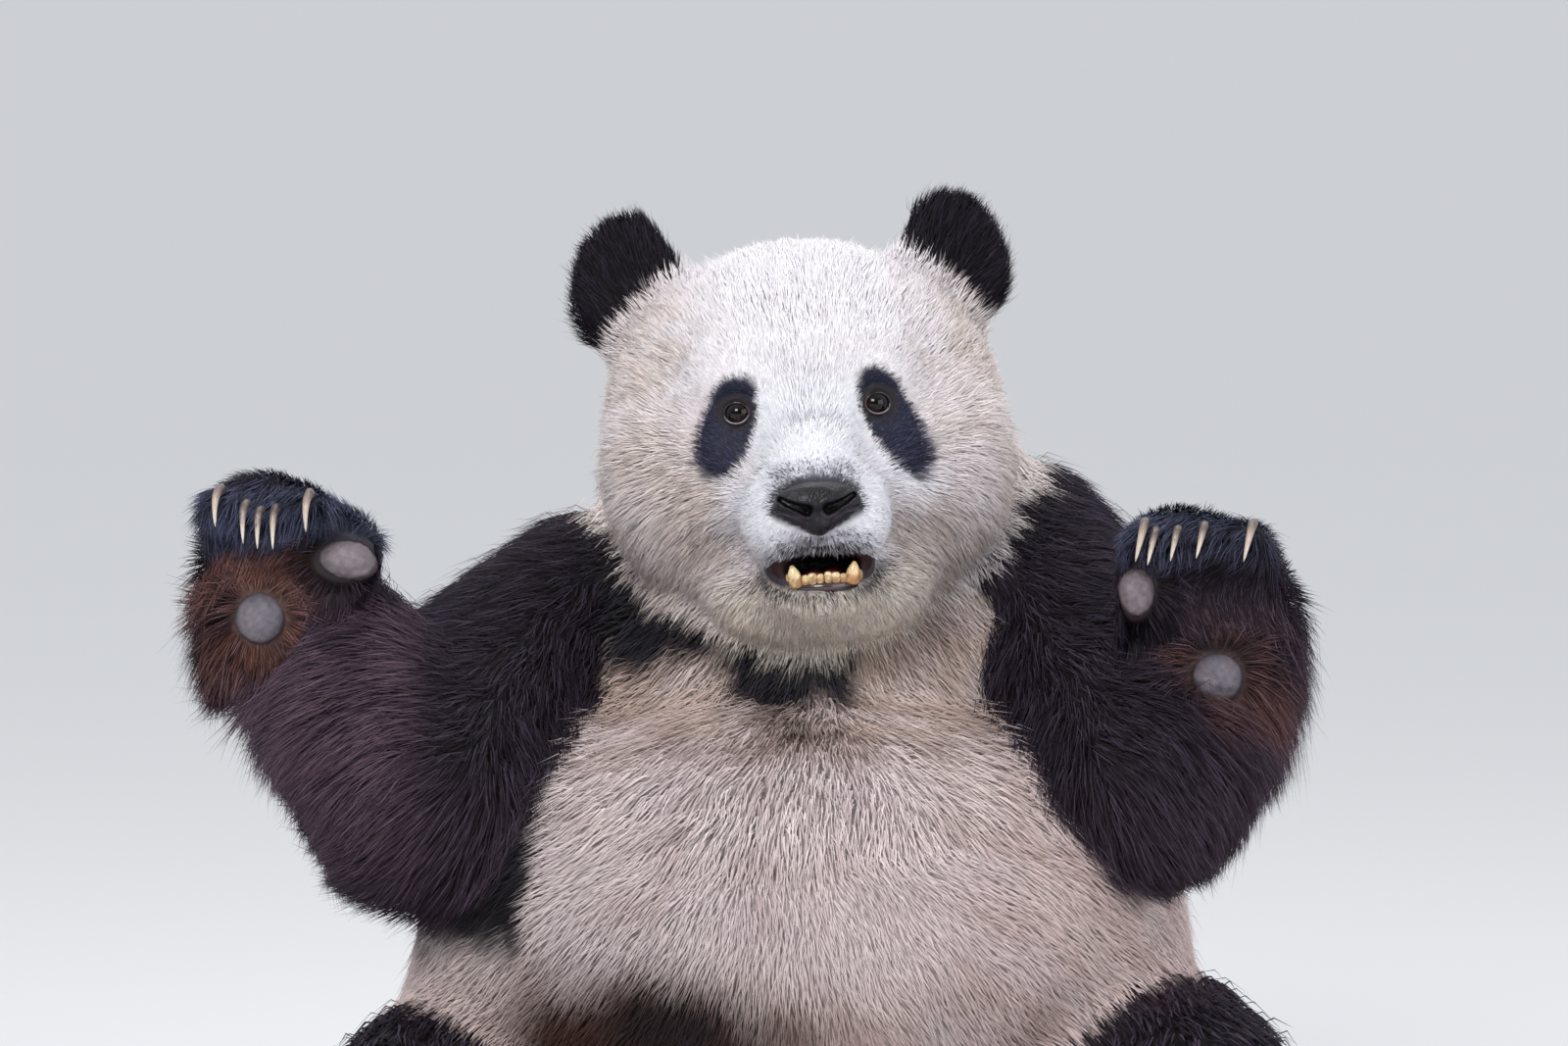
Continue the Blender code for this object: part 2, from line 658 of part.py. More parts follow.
# ---------------------------------------------------------------- the whole animal
def centre_on_floor():
    """Moves everything so that the middle of the bounding box's foot is the origin."""
    corners = [vertex.co for piece in PARTS.objects for vertex in piece.data.vertices]
    middle_x = (min(co.x for co in corners) + max(co.x for co in corners)) / 2.0
    middle_y = (min(co.y for co in corners) + max(co.y for co in corners)) / 2.0
    for piece in PARTS.objects:
        piece.data.transform(Matrix.Translation((-middle_x, -middle_y, 0.0)))


def build_panda():
    head_moulds = build_head()
    trunk = build_trunk(head_moulds)
    build_tail(trunk)
    forelegs = []
    for index, (side, sign) in enumerate(SIDES):
        paw_pieces = build_forepaw(index, side, sign)
        names = (f"upper_arm_{side}", f"forearm_{side}")
        neighbours = (*paw_pieces, trunk, *head_moulds)
        forelegs.append(build_leg(FORELEG[index], names, neighbours, 200))
    for index, (side, sign) in enumerate(SIDES):
        foot_pieces = build_hindpaw(index, side, sign)
        names = (f"thigh_{side}", f"shank_{side}")
        build_leg(HINDLEG[index], names, (*foot_pieces, trunk, *forelegs), 205)
    for mould in list(MOULDS.objects):
        bpy.data.objects.remove(mould, do_unlink=True)
    for piece in PARTS.objects:
        piece.data.shade_smooth()
    centre_on_floor()


build_panda()
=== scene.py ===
"""Looks of the giant panda: one skin with lids and lips, a coat of mesh tufts, eyes, nose, teeth, claws, pads.

Metres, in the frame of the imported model: +Z up, the panda faces -Y and its right side is at -X. Points called
heads are in the head's own frame, worked out from the two eyes; those called places are in the trunk's frame.
"""

import math
from collections import namedtuple

import bmesh
import bpy
import numpy as np
from mathutils import Matrix, Vector
from mathutils.bvhtree import BVHTree
from mathutils.kdtree import KDTree


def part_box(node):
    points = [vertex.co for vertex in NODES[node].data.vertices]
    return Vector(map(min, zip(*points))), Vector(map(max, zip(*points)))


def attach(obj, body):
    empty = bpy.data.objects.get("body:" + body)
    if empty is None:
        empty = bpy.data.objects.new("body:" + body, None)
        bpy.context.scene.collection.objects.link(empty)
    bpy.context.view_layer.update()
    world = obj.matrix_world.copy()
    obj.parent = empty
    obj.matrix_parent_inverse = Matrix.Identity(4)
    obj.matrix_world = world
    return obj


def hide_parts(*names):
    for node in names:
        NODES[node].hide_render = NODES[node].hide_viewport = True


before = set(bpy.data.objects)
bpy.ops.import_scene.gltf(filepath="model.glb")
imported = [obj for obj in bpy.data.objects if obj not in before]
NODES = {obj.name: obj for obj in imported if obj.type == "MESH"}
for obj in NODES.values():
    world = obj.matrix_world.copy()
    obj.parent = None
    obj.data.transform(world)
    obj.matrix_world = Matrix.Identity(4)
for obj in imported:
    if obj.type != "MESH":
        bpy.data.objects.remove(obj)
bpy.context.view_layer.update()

# ---------------------------------------------------------------- driving dimensions
SEED = 11
SKIN_VOXEL = 0.0080          # mesh width of the body's skin, halved on head and feet and again at the face
CUT_CLOSING = 0.0012         # how far the parted solids are swollen, so that they fuse again
GROUND = 0.0012              # the lowest that skin and hair reach
MOST_TUFTS = 33000           # in one piece, at six triangles each
TUFT_SHARE = 1.0

EYE_TO_CENTRE = Vector((0.0, 0.0975, -0.0346))     # from the middle between the eyes to the head's centre
CENTRE_IN_TRUNK = np.array((-0.004, 0.0, 0.600))   # the head's centre in the trunk's frame
NOSE_TIP = np.array((0.0, -0.2130, -0.0310))
NOSE_OUTLINE = (0.0337, 0.0206, -0.0343)           # half width, half height and height of its middle
MOUTH_CENTRE = np.array((0.0016, -0.1800, -0.0795))
MOUTH_RADII = np.array((0.0390, 0.0650, 0.0130))
LID_OPENING = (0.0096, 0.0080)                     # half width and half height between the lids
LID_THICKNESS = 0.0011
# The dark patch of the panda's right and left eye: its lean from upright, how far out and up from the eye its
# middle lies, its half length and half width.
PATCHES = ((math.radians(18.0), 0.0080, -0.0110, 0.0400, 0.0195),
           (math.radians(21.0), 0.0108, -0.0140, 0.0440, 0.0180))
# The forepaws' bare pads, with each one's half width and half height.
PAD_SIZES = (("pad_heel_right", 0.0185, 0.0190), ("pad_heel_left", 0.0192, 0.0188),
             ("pad_thumb_right", 0.0225, 0.0145), ("pad_thumb_left", 0.0135, 0.0185))
PAD_ROOM = 0.035                # how far before or behind a pad's middle its surroundings reach
DOWN = np.array((0.0, 0.0, -1.0))
SIDES = (("right", -1.0), ("left", 1.0))


def both(*parts):
    """The names of parts that are there on the right and on the left."""
    return tuple(f"{part}_{side}" for part in parts for side, _ in SIDES)


TRUNK = ("neck", "chest", "belly", "rump", "tail")
FLESH = ("head", "jaw", *TRUNK, *both("ear", "upper_arm", "forearm", "forepaw", "thigh", "shank", "hindfoot"))
FILLING = ("nose", *both("eye", "pad_heel", "pad_thumb", "pad_sole"))
PARTS = (*FLESH, *FILLING)
ON_HEAD = ("head", "jaw", "nose", *both("eye"))
FINE_PARTS = ("head", *both("ear", "forepaw", "hindfoot"))
NUMBER = {name: number for number, name in enumerate(PARTS)}

# A coat by region: its depth over the skin, hair length, tuft width, tufts per cm2, how strongly tufts draw
# together into locks, and how much they differ in tone and darken to their roots as painted shade in the coat.
COATS = {
    "head": (0.0085, 0.0215, 0.00092, 24.0, 0.46, 1.45),
    "jaw": (0.0070, 0.0190, 0.00092, 26.0, 0.46, 1.35),
    "ear": (0.0080, 0.0230, 0.00085, 36.0, 0.16, 0.70),
    "neck": (0.0160, 0.0400, 0.00180, 7.0, 0.36, 1.00),
    "chest": (0.0140, 0.0340, 0.00140, 11.0, 0.26, 0.80),
    "belly": (0.0095, 0.0210, 0.00125, 15.0, 0.14, 0.26),
    "rump": (0.0150, 0.0400, 0.00270, 3.2, 0.40, 0.90),
    "tail": (0.0110, 0.0320, 0.00200, 6.0, 0.35, 0.90),
    "upper_arm": (0.0160, 0.0400, 0.00135, 13.0, 0.36, 0.90),
    "forearm": (0.0150, 0.0380, 0.00115, 18.0, 0.34, 0.90),
    "forepaw": (0.0060, 0.0190, 0.00092, 30.0, 0.34, 1.30),
    "thigh": (0.0150, 0.0400, 0.00270, 3.6, 0.45, 0.90),
    "shank": (0.0140, 0.0360, 0.00260, 3.8, 0.45, 0.90),
    "hindfoot": (0.0055, 0.0160, 0.00150, 10.0, 0.30, 0.90),
}
BARE_DEPTH = 0.0010          # the skin's depth where eyes, nose and pads fill it out


# ---------------------------------------------------------------- small helpers
def unit(vectors):
    """The vectors at length 1."""
    return vectors / np.maximum(np.linalg.norm(vectors, axis=-1, keepdims=True), 1e-9)


def dot(a, b):
    return (a * b).sum(-1)


def far(points, place):
    """How far each point is from a place."""
    return np.linalg.norm(points - place, axis=1)


def capped(value, most=1.0):
    return np.clip(value, 0.0, most)


def step(low, high, value):
    """0 below low, 1 above high, smooth between."""
    part = capped((value - low) / (high - low))
    return part * part * (3.0 - 2.0 * part)


def bell(value, width):
    """1 where the value is 0, falling off on both sides."""
    return np.exp(-(value / width) ** 2)


def blot(x, z, middle_x, middle_z, width, height):
    """1 in the middle of an oval blot, falling off round it."""
    return np.exp(-((x - middle_x) / width) ** 2 - ((z - middle_z) / height) ** 2)


def tone(red, green, blue):
    """A linear colour from 0-255 sRGB numbers."""
    encoded = np.array((red, green, blue), float) / 255.0
    return np.where(encoded <= 0.04045, encoded / 12.92, ((encoded + 0.055) / 1.055) ** 2.4)


def layered(colours, *layers):
    """Colours turned toward each layer's colour in turn, by its share at each place."""
    for other, share in layers:
        colours = colours + (other - colours) * share[:, None]
    return colours


class Waves:
    """Smooth noise about 0, from a sum of plane waves with a given size of blotch."""

    def __init__(self, seed, size, octaves=3, waves=9):
        draw = np.random.default_rng(seed)
        self.layers = []
        for octave in range(octaves):
            turns = unit(draw.normal(size=(waves, 3))) * (2.0 * math.pi / (size / 2.0 ** octave))
            turns *= draw.uniform(0.7, 1.4, (waves, 1))
            self.layers.append((turns, draw.uniform(0.0, 6.283, waves), 0.55 ** octave))

    def at(self, points):
        total = np.zeros(len(points))
        for turns, phases, strength in self.layers:
            total += strength * np.sin(points @ turns.T + phases).mean(1)
        return total * 2.2


BLOTCHES = Waves(SEED + 1, 0.160)
CLOUDS = Waves(SEED + 2, 0.060)
FLECKS = Waves(SEED + 3, 0.016)
CLUMPS = Waves(SEED + 4, 0.0075, 2, 14)


# ---------------------------------------------------------------- the head's frame, eyes and pads
def middle(node):
    low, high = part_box(node)
    return (low + high) / 2.0


def head_frame():
    """The head's frame: +X to its left, +Y back, +Z up, origin at its centre."""
    right, left = map(middle, both("eye"))
    across = (left - right).normalized()
    back = Vector((-across.y, across.x, 0.0)).normalized()
    axes = Matrix((across, back, across.cross(back))).transposed()
    return Matrix.Translation((left + right) / 2.0 + axes @ EYE_TO_CENTRE) @ axes.to_4x4()


HEAD = head_frame()
HEAD_AXES = np.array(HEAD.to_3x3())
HEAD_CENTRE = np.array(HEAD.translation)
TRUNK_SHIFT = HEAD_CENTRE - CENTRE_IN_TRUNK


def in_head(points):
    return (points - HEAD_CENTRE) @ HEAD_AXES


def from_head(points):
    return points @ HEAD_AXES.T + HEAD_CENTRE


Eye = namedtuple("Eye", "side sign centre radius across up out patch")
Pad = namedtuple("Pad", "place width height")


def eye_of(side, sign, patch):
    """An eye's centre, radius and directions in the head's frame."""
    low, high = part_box(f"eye_{side}")
    out = unit(np.array((0.24 * sign, -1.0, 0.04)))
    up = unit(np.array((0.0, 0.04, 1.0)) - out * out[2])
    centre = np.array(HEAD.inverted() @ middle(f"eye_{side}"))
    return Eye(side, sign, centre, (high - low).z / 2.0, np.cross(up, out), up, out, patch)


def pad_of(name, width, height):
    """A palm's pad with its middle, on the front of the paw."""
    low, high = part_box(name)
    return Pad(np.array(Vector(((low.x + high.x) / 2.0, low.y + 0.0045, (low.z + high.z) / 2.0))), width, height)


EYES = [eye_of(side, sign, patch) for (side, sign), patch in zip(SIDES, PATCHES)]
PADS = {name: pad_of(name, width, height) for name, width, height in PAD_SIZES}


def eye_places(heads, eye):
    """Places in an eye's frame: across, up, out from the eyeball's centre."""
    away = heads - eye.centre
    return np.stack((away @ eye.across, away @ eye.up, away @ eye.out), 1)


def lid_reach(local):
    """1 on the edge of the lids, less between them."""
    return np.hypot(local[:, 0] / LID_OPENING[0], local[:, 1] / LID_OPENING[1])


def pad_reach(away, pad, rim=0.0):
    """1 on a pad's outline or a rim's width inside it, less within."""
    return np.hypot(away[..., 0] / (pad.width - rim), away[..., 2] / (pad.height - rim))


def mouth_reach(heads):
    """How far a place is from the mouth's middle: 1 on the wall of its hollow."""
    return np.linalg.norm((heads - MOUTH_CENTRE) / MOUTH_RADII, axis=1)


def nose_rim(heads):
    """1 on the outline of the nose's bare skin, round above and pointed below, more away from it."""
    half_width, half_height, middle_height = NOSE_OUTLINE
    rise = heads[:, 2] - middle_height
    power = 2.0 - 0.8 * step(0.0, -0.004, rise)
    across, up = np.abs(heads[:, 0]) / half_width, np.abs(rise) / half_height
    return (across ** power + up ** power) ** (1.0 / power)


# ---------------------------------------------------------------- meshes as arrays
def numbers(items, name, width, kind=np.float32):
    """One property of all items of a mesh, in rows of the given width."""
    found = np.empty(len(items) * width, kind)
    items.foreach_get(name, found)
    return found.reshape(-1, width) if width > 1 else found


def corners_of(node):
    """A CAD node's points."""
    return np.array([vertex.co for vertex in NODES[node].data.vertices])


def arrays_of(bm):
    """The points and triangles of a bmesh, which is freed."""
    bmesh.ops.triangulate(bm, faces=bm.faces[:])
    bm.verts.index_update()
    points = np.array([vertex.co for vertex in bm.verts])
    triangles = np.array([[vertex.index for vertex in face.verts] for face in bm.faces])
    bm.free()
    return points, triangles


def solid_arrays(node, swell=0.0):
    """A CAD node's points and triangles, with split points merged and swollen along its normals."""
    bm = bmesh.new()
    bm.from_mesh(NODES[node].data)
    bmesh.ops.remove_doubles(bm, verts=bm.verts[:], dist=1e-6)
    bmesh.ops.triangulate(bm, faces=bm.faces[:])
    bm.normal_update()
    for vertex in bm.verts:
        vertex.co += vertex.normal * swell
    return arrays_of(bm)


def merged(parts):
    """Joins (points, triangles) pairs, with the number of the part that each point comes from."""
    points, faces, sources, count = [], [], [], 0
    for number, (part_points, part_faces) in enumerate(parts):
        points.append(part_points)
        faces.append(part_faces + count)
        sources.append(np.full(len(part_points), number))
        count += len(part_points)
    return np.concatenate(points), np.concatenate(faces), np.concatenate(sources)


def new_mesh(name, points, faces):
    """A mesh from an array of points and one of faces that all have the same number of corners."""
    mesh = bpy.data.meshes.new(name)
    mesh.vertices.add(len(points))
    mesh.vertices.foreach_set("co", np.ascontiguousarray(points, np.float32).ravel())
    mesh.loops.add(faces.size)
    mesh.loops.foreach_set("vertex_index", np.ascontiguousarray(faces, np.int32).ravel())
    mesh.polygons.add(len(faces))
    mesh.polygons.foreach_set("loop_start", np.arange(0, faces.size, faces.shape[1], dtype=np.int32))
    mesh.update(calc_edges=True)
    return mesh


def shown(thing):
    bpy.context.scene.collection.objects.link(thing)
    return thing


def discard(thing):
    mesh = thing.data
    bpy.data.objects.remove(thing)
    bpy.data.meshes.remove(mesh)


def new_piece(name, points, faces, colours, finish, slot, *replaced):
    """A smooth painted piece of the animal that stands for the named CAD nodes."""
    mesh = new_mesh(name, points, faces)
    mesh.shade_smooth()
    layer = mesh.color_attributes.new("Coat", "FLOAT_COLOR", "POINT")
    full = np.ones((len(colours), 4), np.float32)
    full[:, :3] = colours
    layer.data.foreach_set("color", full.ravel())
    piece = shown(bpy.data.objects.new(name, mesh))
    mesh.materials.append(FINISHES[finish])
    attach(piece, "root")
    if replaced:
        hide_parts(*replaced)
    return mesh


def voxel_mesh(points, triangles, voxel):
    """The points and quads of the skin round a soup of closed solids."""
    soup = shown(bpy.data.objects.new("soup", new_mesh("soup", points, triangles)))
    remesh = soup.modifiers.new("fuse", "REMESH")
    remesh.mode, remesh.voxel_size = "VOXEL", voxel
    fused = bpy.data.meshes.new_from_object(soup.evaluated_get(bpy.context.evaluated_depsgraph_get()))
    found = numbers(fused.vertices, "co", 3).astype(float)
    quads = numbers(fused.loops, "vertex_index", 1, np.int32).reshape(-1, 4)
    discard(soup)
    bpy.data.meshes.remove(fused)
    return found, quads


def halved(quads):
    """The two triangles of each quad."""
    return np.concatenate((quads[:, (0, 1, 2)], quads[:, (0, 2, 3)]))


def spread(values, edges, rounds, pull=0.5):
    """Smooths per-vertex values over the mesh, by one pull or by one for each vertex."""
    flat = values.ndim == 1
    values = values.reshape(len(values), -1).astype(float)
    ends = np.concatenate((edges, edges[:, ::-1]))
    share = np.maximum(np.bincount(ends[:, 0], minlength=len(values)), 1)[:, None]
    for _ in range(rounds):
        total = [np.bincount(ends[:, 0], column[ends[:, 1]], len(values)) for column in values.T]
        values = values + pull * (np.stack(total, 1) / share - values)
    return values[:, 0] if flat else values


def edges_of(faces):
    """Each edge of the faces once, as a pair of points."""
    corners = faces.shape[1]
    pairs = np.concatenate([faces[:, (k, (k + 1) % corners)] for k in range(corners)])
    return np.unique(np.sort(pairs, 1), axis=0)


def vertex_normals(points, triangles):
    a, b, c = (points[triangles[:, k]] for k in range(3))
    flat = np.cross(b - a, c - a)
    total = np.zeros_like(points)
    for k in range(3):
        for axis in range(3):
            total[:, axis] += np.bincount(triangles[:, k], flat[:, axis], len(points))
    return unit(total)


def smooth_copy(name, voxel, rounds):
    """A CAD node's shape as a fine smooth mesh."""
    before, quads = voxel_mesh(*solid_arrays(name), voxel)
    points, halves = spread(before, edges_of(quads), rounds), halved(quads)
    normals = vertex_normals(points, halves)
    return points + normals * dot(before - points, normals).mean(), halves


# ---------------------------------------------------------------- the skin's shape
def owner_finder():
    """A way to find the number of the solid that each point lies nearest."""
    points, triangles, sources = merged([solid_arrays(name) for name in PARTS])
    tree = BVHTree.FromPolygons(points.tolist(), triangles.tolist())
    owners = sources[triangles[:, 0]]
    return lambda places: owners[np.array([tree.find_nearest(place)[2] for place in places.tolist()])]


owner_of = owner_finder()


def owned(owners, *names):
    """True where the owner is one of the named solids."""
    return np.isin(owners, [NUMBER[name] for name in names])


def coat_of(name, filling):
    """The coat of the region that a solid belongs to; that of the filling solids is given by name."""
    if name in FILLING:
        return COATS[filling["pad" if name.startswith("pad") else "head"]]
    return COATS[name.rsplit("_", 1)[0] if name.endswith(("_right", "_left")) else name]


FULL_COATS = np.array([coat_of(name, {"pad": "forepaw", "head": "head"}) for name in PARTS])


def face_thinning(heads, owners):
    """How much of the head's full coat grows at each place: short on the muzzle, brow and round the eyes."""
    x, y, z = heads.T
    width = np.abs(x)
    share = 0.22 + 0.78 * step(0.020, 0.160, far(heads, NOSE_TIP))
    for eye in EYES:
        local = eye_places(heads, eye)
        near = np.hypot(local[:, 0], local[:, 1] * 0.8)
        share = np.minimum(share, 0.22 + 0.78 * step(0.008, 0.075, near))
    cheek = step(0.070, 0.125, width) * step(0.060, -0.020, z)
    jowl = step(-0.095, -0.145, z + 0.25 * (width - 0.05)) * step(0.06, -0.02, y)
    share = share * (1.0 + 0.35 * cheek) * (1.0 + 0.10 * jowl) * (1.0 - 0.38 * step(-0.112, -0.140, z))
    over_mouth = bell(z - MOUTH_CENTRE[2] - MOUTH_RADII[2] - 0.003, 0.0060)
    over_mouth *= step(0.050, 0.040, width) * (y < -0.11)
    return np.where(owned(owners, "head", "jaw"), np.maximum(share, 0.50 * over_mouth), 1.0)


def refine(points, faces, region, rounds):
    """Cuts each face of the region in four and smooths the new places."""
    mesh = new_mesh("refine", points, faces)
    bm = bmesh.new()
    bm.from_mesh(mesh)
    bpy.data.meshes.remove(mesh)
    inside = region(points)
    edges = [edge for edge in bm.edges if inside[edge.verts[0].index] and inside[edge.verts[1].index]]
    bmesh.ops.subdivide_edges(bm, edges=edges, cuts=1, use_grid_fill=True)
    points, triangles = arrays_of(bm)
    return spread(points, edges_of(triangles), rounds, 0.5 * region(points)[:, None]), triangles


def near_features(points, reach):
    """True near the eyes, the nose or the mouth."""
    heads = in_head(points)
    near = (mouth_reach(heads) < 1.0 + reach / 0.030) & (heads[:, 1] < -0.09)
    near |= far(heads, NOSE_TIP) < 2.0 * reach + 0.010
    for eye in EYES:
        near |= far(heads, eye.centre) < reach + 0.016
    return near


def shape_lids(heads):
    """Draws the skin round each eye into lids that lie on the eyeball and part over it."""
    for eye in EYES:
        local = eye_places(heads, eye)
        reach = lid_reach(local)
        flat = np.hypot(local[:, 0], local[:, 1])
        front = (local[:, 2] > -0.030) & (flat < 0.032)
        cap = np.sqrt((eye.radius + LID_THICKNESS) ** 2 - np.minimum(flat, 0.0106) ** 2)
        outer = step(0.0098, 0.0290, flat)
        wanted = cap * (1.0 - outer) + local[:, 2] * outer
        wanted -= 0.0011 * bell(reach - 1.80, 0.20) * (local[:, 1] > 0.0)
        inside = np.sqrt(np.maximum((eye.radius - 0.004) ** 2 - flat ** 2, 0.0))
        wanted = np.where(reach < 0.90, inside, wanted)
        rim = (reach > 0.78) & (reach < 1.10) & front
        slide = np.where(rim, 1.0 / np.maximum(reach, 0.1), 1.0) - 1.0
        rise = np.where(front, wanted - local[:, 2], 0.0)
        heads = (heads + rise[:, None] * eye.out + (local[:, 0] * slide)[:, None] * eye.across
                 + (local[:, 1] * slide)[:, None] * eye.up)
    return heads


def sink_behind_nose(heads):
    """Leaves room behind the nose for its nostrils."""
    away = np.hypot(heads[:, 0] / 0.026, (heads[:, 2] - NOSE_TIP[2] - 0.002) / 0.012)
    heads[:, 1] += 0.010 * step(1.0, 0.7, away) * (heads[:, 1] < -0.185)
    return heads


def level_behind_pads(points, normals):
    """Levels the skin where a palm's pad lies on it."""
    for pad in PADS.values():
        away = points - pad.place
        reach = pad_reach(away, pad)
        front = (np.abs(away[:, 1]) < PAD_ROOM) & (normals[:, 1] < 0.1)
        level = points[front & (reach < 0.55), 1].mean()
        points[:, 1] += (level - points[:, 1]) * step(1.55, 1.05, reach) * front
    return points


def raise_lips(points, normals):
    """A low rounded lip round the open mouth."""
    heads = in_head(points)
    lip = bell(mouth_reach(heads) - 1.13, 0.09) * (heads[:, 1] < -0.10)
    lower = step(0.0, -0.012, heads[:, 2] - MOUTH_CENTRE[2])
    return points + normals * (lip * (0.0008 + 0.0014 * lower))[:, None]


def build_skin_arrays():
    """The skin: the solids fused, drawn in by the coat's depth, made finer at the face, with lids and lips."""
    points, triangles, _ = merged([solid_arrays(name, CUT_CLOSING) for name in PARTS])
    points, quads = voxel_mesh(points, triangles, SKIN_VOXEL)
    edges = edges_of(quads)
    fine = np.zeros(len(points), bool)
    for low, high in map(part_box, FINE_PARTS):
        fine |= ((points > np.array(low)) & (points < np.array(high))).all(1)
    points = spread(points, edges, 4, 0.5 * (1.0 - 0.7 * fine)[:, None])
    owners, heads = owner_of(points), in_head(points)
    normals = vertex_normals(points, halved(quads))
    depth = np.where(owned(owners, *FILLING), BARE_DEPTH, FULL_COATS[owners, 0])
    depth = depth * face_thinning(heads, owners) + CUT_CLOSING
    depth = np.where((mouth_reach(heads) < 1.10) & (heads[:, 1] < -0.09), CUT_CLOSING, depth)
    depth = spread(depth * (1.0 - 0.75 * step(0.020, 0.004, points[:, 2])), edges, 5)
    points = points - unit(spread(normals, edges, 3)) * depth[:, None]
    points = spread(points, edges, 6, 0.5 * ~owned(owners, "head", "jaw")[:, None])
    points, triangles = refine(points, quads, lambda p: owned(owner_of(p), *FINE_PARTS), 2)
    points, triangles = refine(points, triangles, lambda p: near_features(p, 0.020), 3)
    points, triangles = refine(points, triangles, lambda p: near_features(p, 0.004), 3)
    points = from_head(shape_lids(in_head(points)))
    points = from_head(sink_behind_nose(in_head(points)))
    points = level_behind_pads(points, vertex_normals(points, triangles))
    points = raise_lips(points, vertex_normals(points, triangles))
    points[:, 2] = np.maximum(points[:, 2], GROUND)
    return points, triangles


SKIN_POINTS, SKIN_TRIANGLES = build_skin_arrays()
SKIN_EDGES = edges_of(SKIN_TRIANGLES)
SKIN_NORMALS = vertex_normals(SKIN_POINTS, SKIN_TRIANGLES)
SKIN_HEADS = in_head(SKIN_POINTS)
SKIN_OWNERS = owner_of(SKIN_POINTS)


# ---------------------------------------------------------------- markings
WHITE = tone(236, 232, 236)
MUZZLE = tone(238, 238, 246)
CREAM = tone(230, 220, 222)
BEIGE = tone(217, 203, 197)
CHIN = tone(232, 222, 208)
# The eye patches' black is tinted blue as painted sheen.
PATCH = tone(24, 26, 46)
CREASE_SHADE = tone(150, 140, 142)
NAPE = tone(226, 214, 210)
BACK = tone(216, 203, 190)
DIRTY = tone(206, 191, 193)
SMUDGE = tone(150, 132, 132)
DUSTY = tone(186, 164, 152)
FOLD_SHADE = tone(128, 110, 108)
STRAW = tone(170, 148, 142)
SEAT = tone(150, 128, 108)
GROIN_SHADOW = tone(30, 21, 23)
PINKISH = tone(204, 180, 175)
BROWN = tone(96, 64, 54)
PALM = tone(86, 58, 50)
BLACK = tone(15, 13, 19)
BLACK_WARM = tone(76, 60, 70)
BLUE_SHEEN = tone(46, 50, 66)
DARK_LIP = tone(50, 44, 52)
LID = tone(26, 20, 24)
BESIDE_NOSE = tone(40, 38, 50)
NOSE_EDGE = tone(24, 21, 27)
PAD_BED = tone(34, 28, 34)
MOUTH_PINK = tone(46, 24, 27)
MOUTH_SHADOW = tone(14, 6, 7)
STIPPLE = tone(110, 108, 124)
RIM_PINK = tone(156, 140, 146)
# Dirt on the belly: its place across and up, its size and its strength.
SMUDGES = ((-0.060, 0.330, 0.050, 0.8), (-0.150, 0.365, 0.040, 0.6),
           (0.105, 0.320, 0.035, 0.7), (0.030, 0.285, 0.045, 0.5))


def eye_patch(heads, eye):
    """1 inside the dark patch round an eye."""
    lean, aside_of_eye, above_eye, half_length, half_width = eye.patch
    outward = (heads[:, 0] - eye.centre[0]) * eye.sign - aside_of_eye
    rise = heads[:, 2] - eye.centre[2] - above_eye
    along = outward * math.sin(lean) - rise * math.cos(lean)
    aside = outward * math.cos(lean) + rise * math.sin(lean)
    reach = (np.abs(along / half_length) ** 2.5 + np.abs(aside / half_width) ** 2.5) ** 0.4
    return step(1.09, 0.91, reach + 0.035 * FLECKS.at(heads)) * (heads[:, 1] < 0.0)


def above_nose(heads):
    """1 on the muzzle right over the nose, less away from it and to its sides."""
    over = step(1.95, 1.00, nose_rim(heads)) * step(0.0, 0.010, heads[:, 2] - NOSE_OUTLINE[2])
    return over * step(0.040, 0.020, np.abs(heads[:, 0]))


def head_colours(heads):
    """The coat's colour over the head."""
    x, y, z = heads.T
    blotch, cloud, fleck = BLOTCHES.at(heads), CLOUDS.at(heads), FLECKS.at(heads)
    width, front, back = np.abs(x), y < -0.10, step(0.00, 0.10, y)
    cheek = step(0.045, 0.100, width + 0.30 * np.maximum(-z, 0.0) + 0.012 * cloud)
    cheek *= step(0.150, 0.060, z) * (1.0 - 0.5 * back)
    brow = step(0.115, 0.050, width + 0.012 * cloud) * step(0.010, 0.070, z) * (1.0 - back)
    from_nose = np.linalg.norm((heads - NOSE_TIP) / np.array((1.0, 1.15, 0.92)), axis=1)
    muzzle = step(0.150, 0.050, from_nose + 0.018 * cloud) * step(-0.098, -0.070, z)
    bridge = step(0.058, 0.030, width) * step(0.070, 0.040, z) * (z > -0.05)
    chin = step(-0.080, -0.098, z) * step(0.095, 0.050, width) * (y < -0.02)
    below = step(0.046, 0.016, width) * step(-0.044, -0.058, z) * (z > -0.085)
    stipple = (0.72 * above_nose(heads) + 0.62 * below) * (1.0 + 0.6 * fleck)
    lip = step(1.75, 1.15, mouth_reach(heads)) * front * (0.25 + 0.75 * step(-0.076, -0.088, z))
    # Painted shade in a crease across the bridge between the eyes.
    crease_shade = bell(z - 0.026 + 6.0 * x ** 2, 0.0035) * step(0.030, 0.012, width)
    colours = layered(CREAM, (BEIGE, capped(cheek * (0.70 + 0.45 * blotch + 0.30 * cloud))),
                      (WHITE, capped(brow * 0.95)), (MUZZLE, np.maximum(muzzle, bridge) * (y < -0.02)),
                      (CHIN, chin * capped(0.85 + 0.3 * fleck)), (STIPPLE, capped(stipple, 0.9) * front),
                      (DARK_LIP, capped(lip * 0.85)), (CREASE_SHADE, 0.40 * crease_shade * (y < -0.08)),
                      *((PATCH, eye_patch(heads, eye)) for eye in EYES))
    return colours * (1.0 + 0.05 * fleck)[:, None]


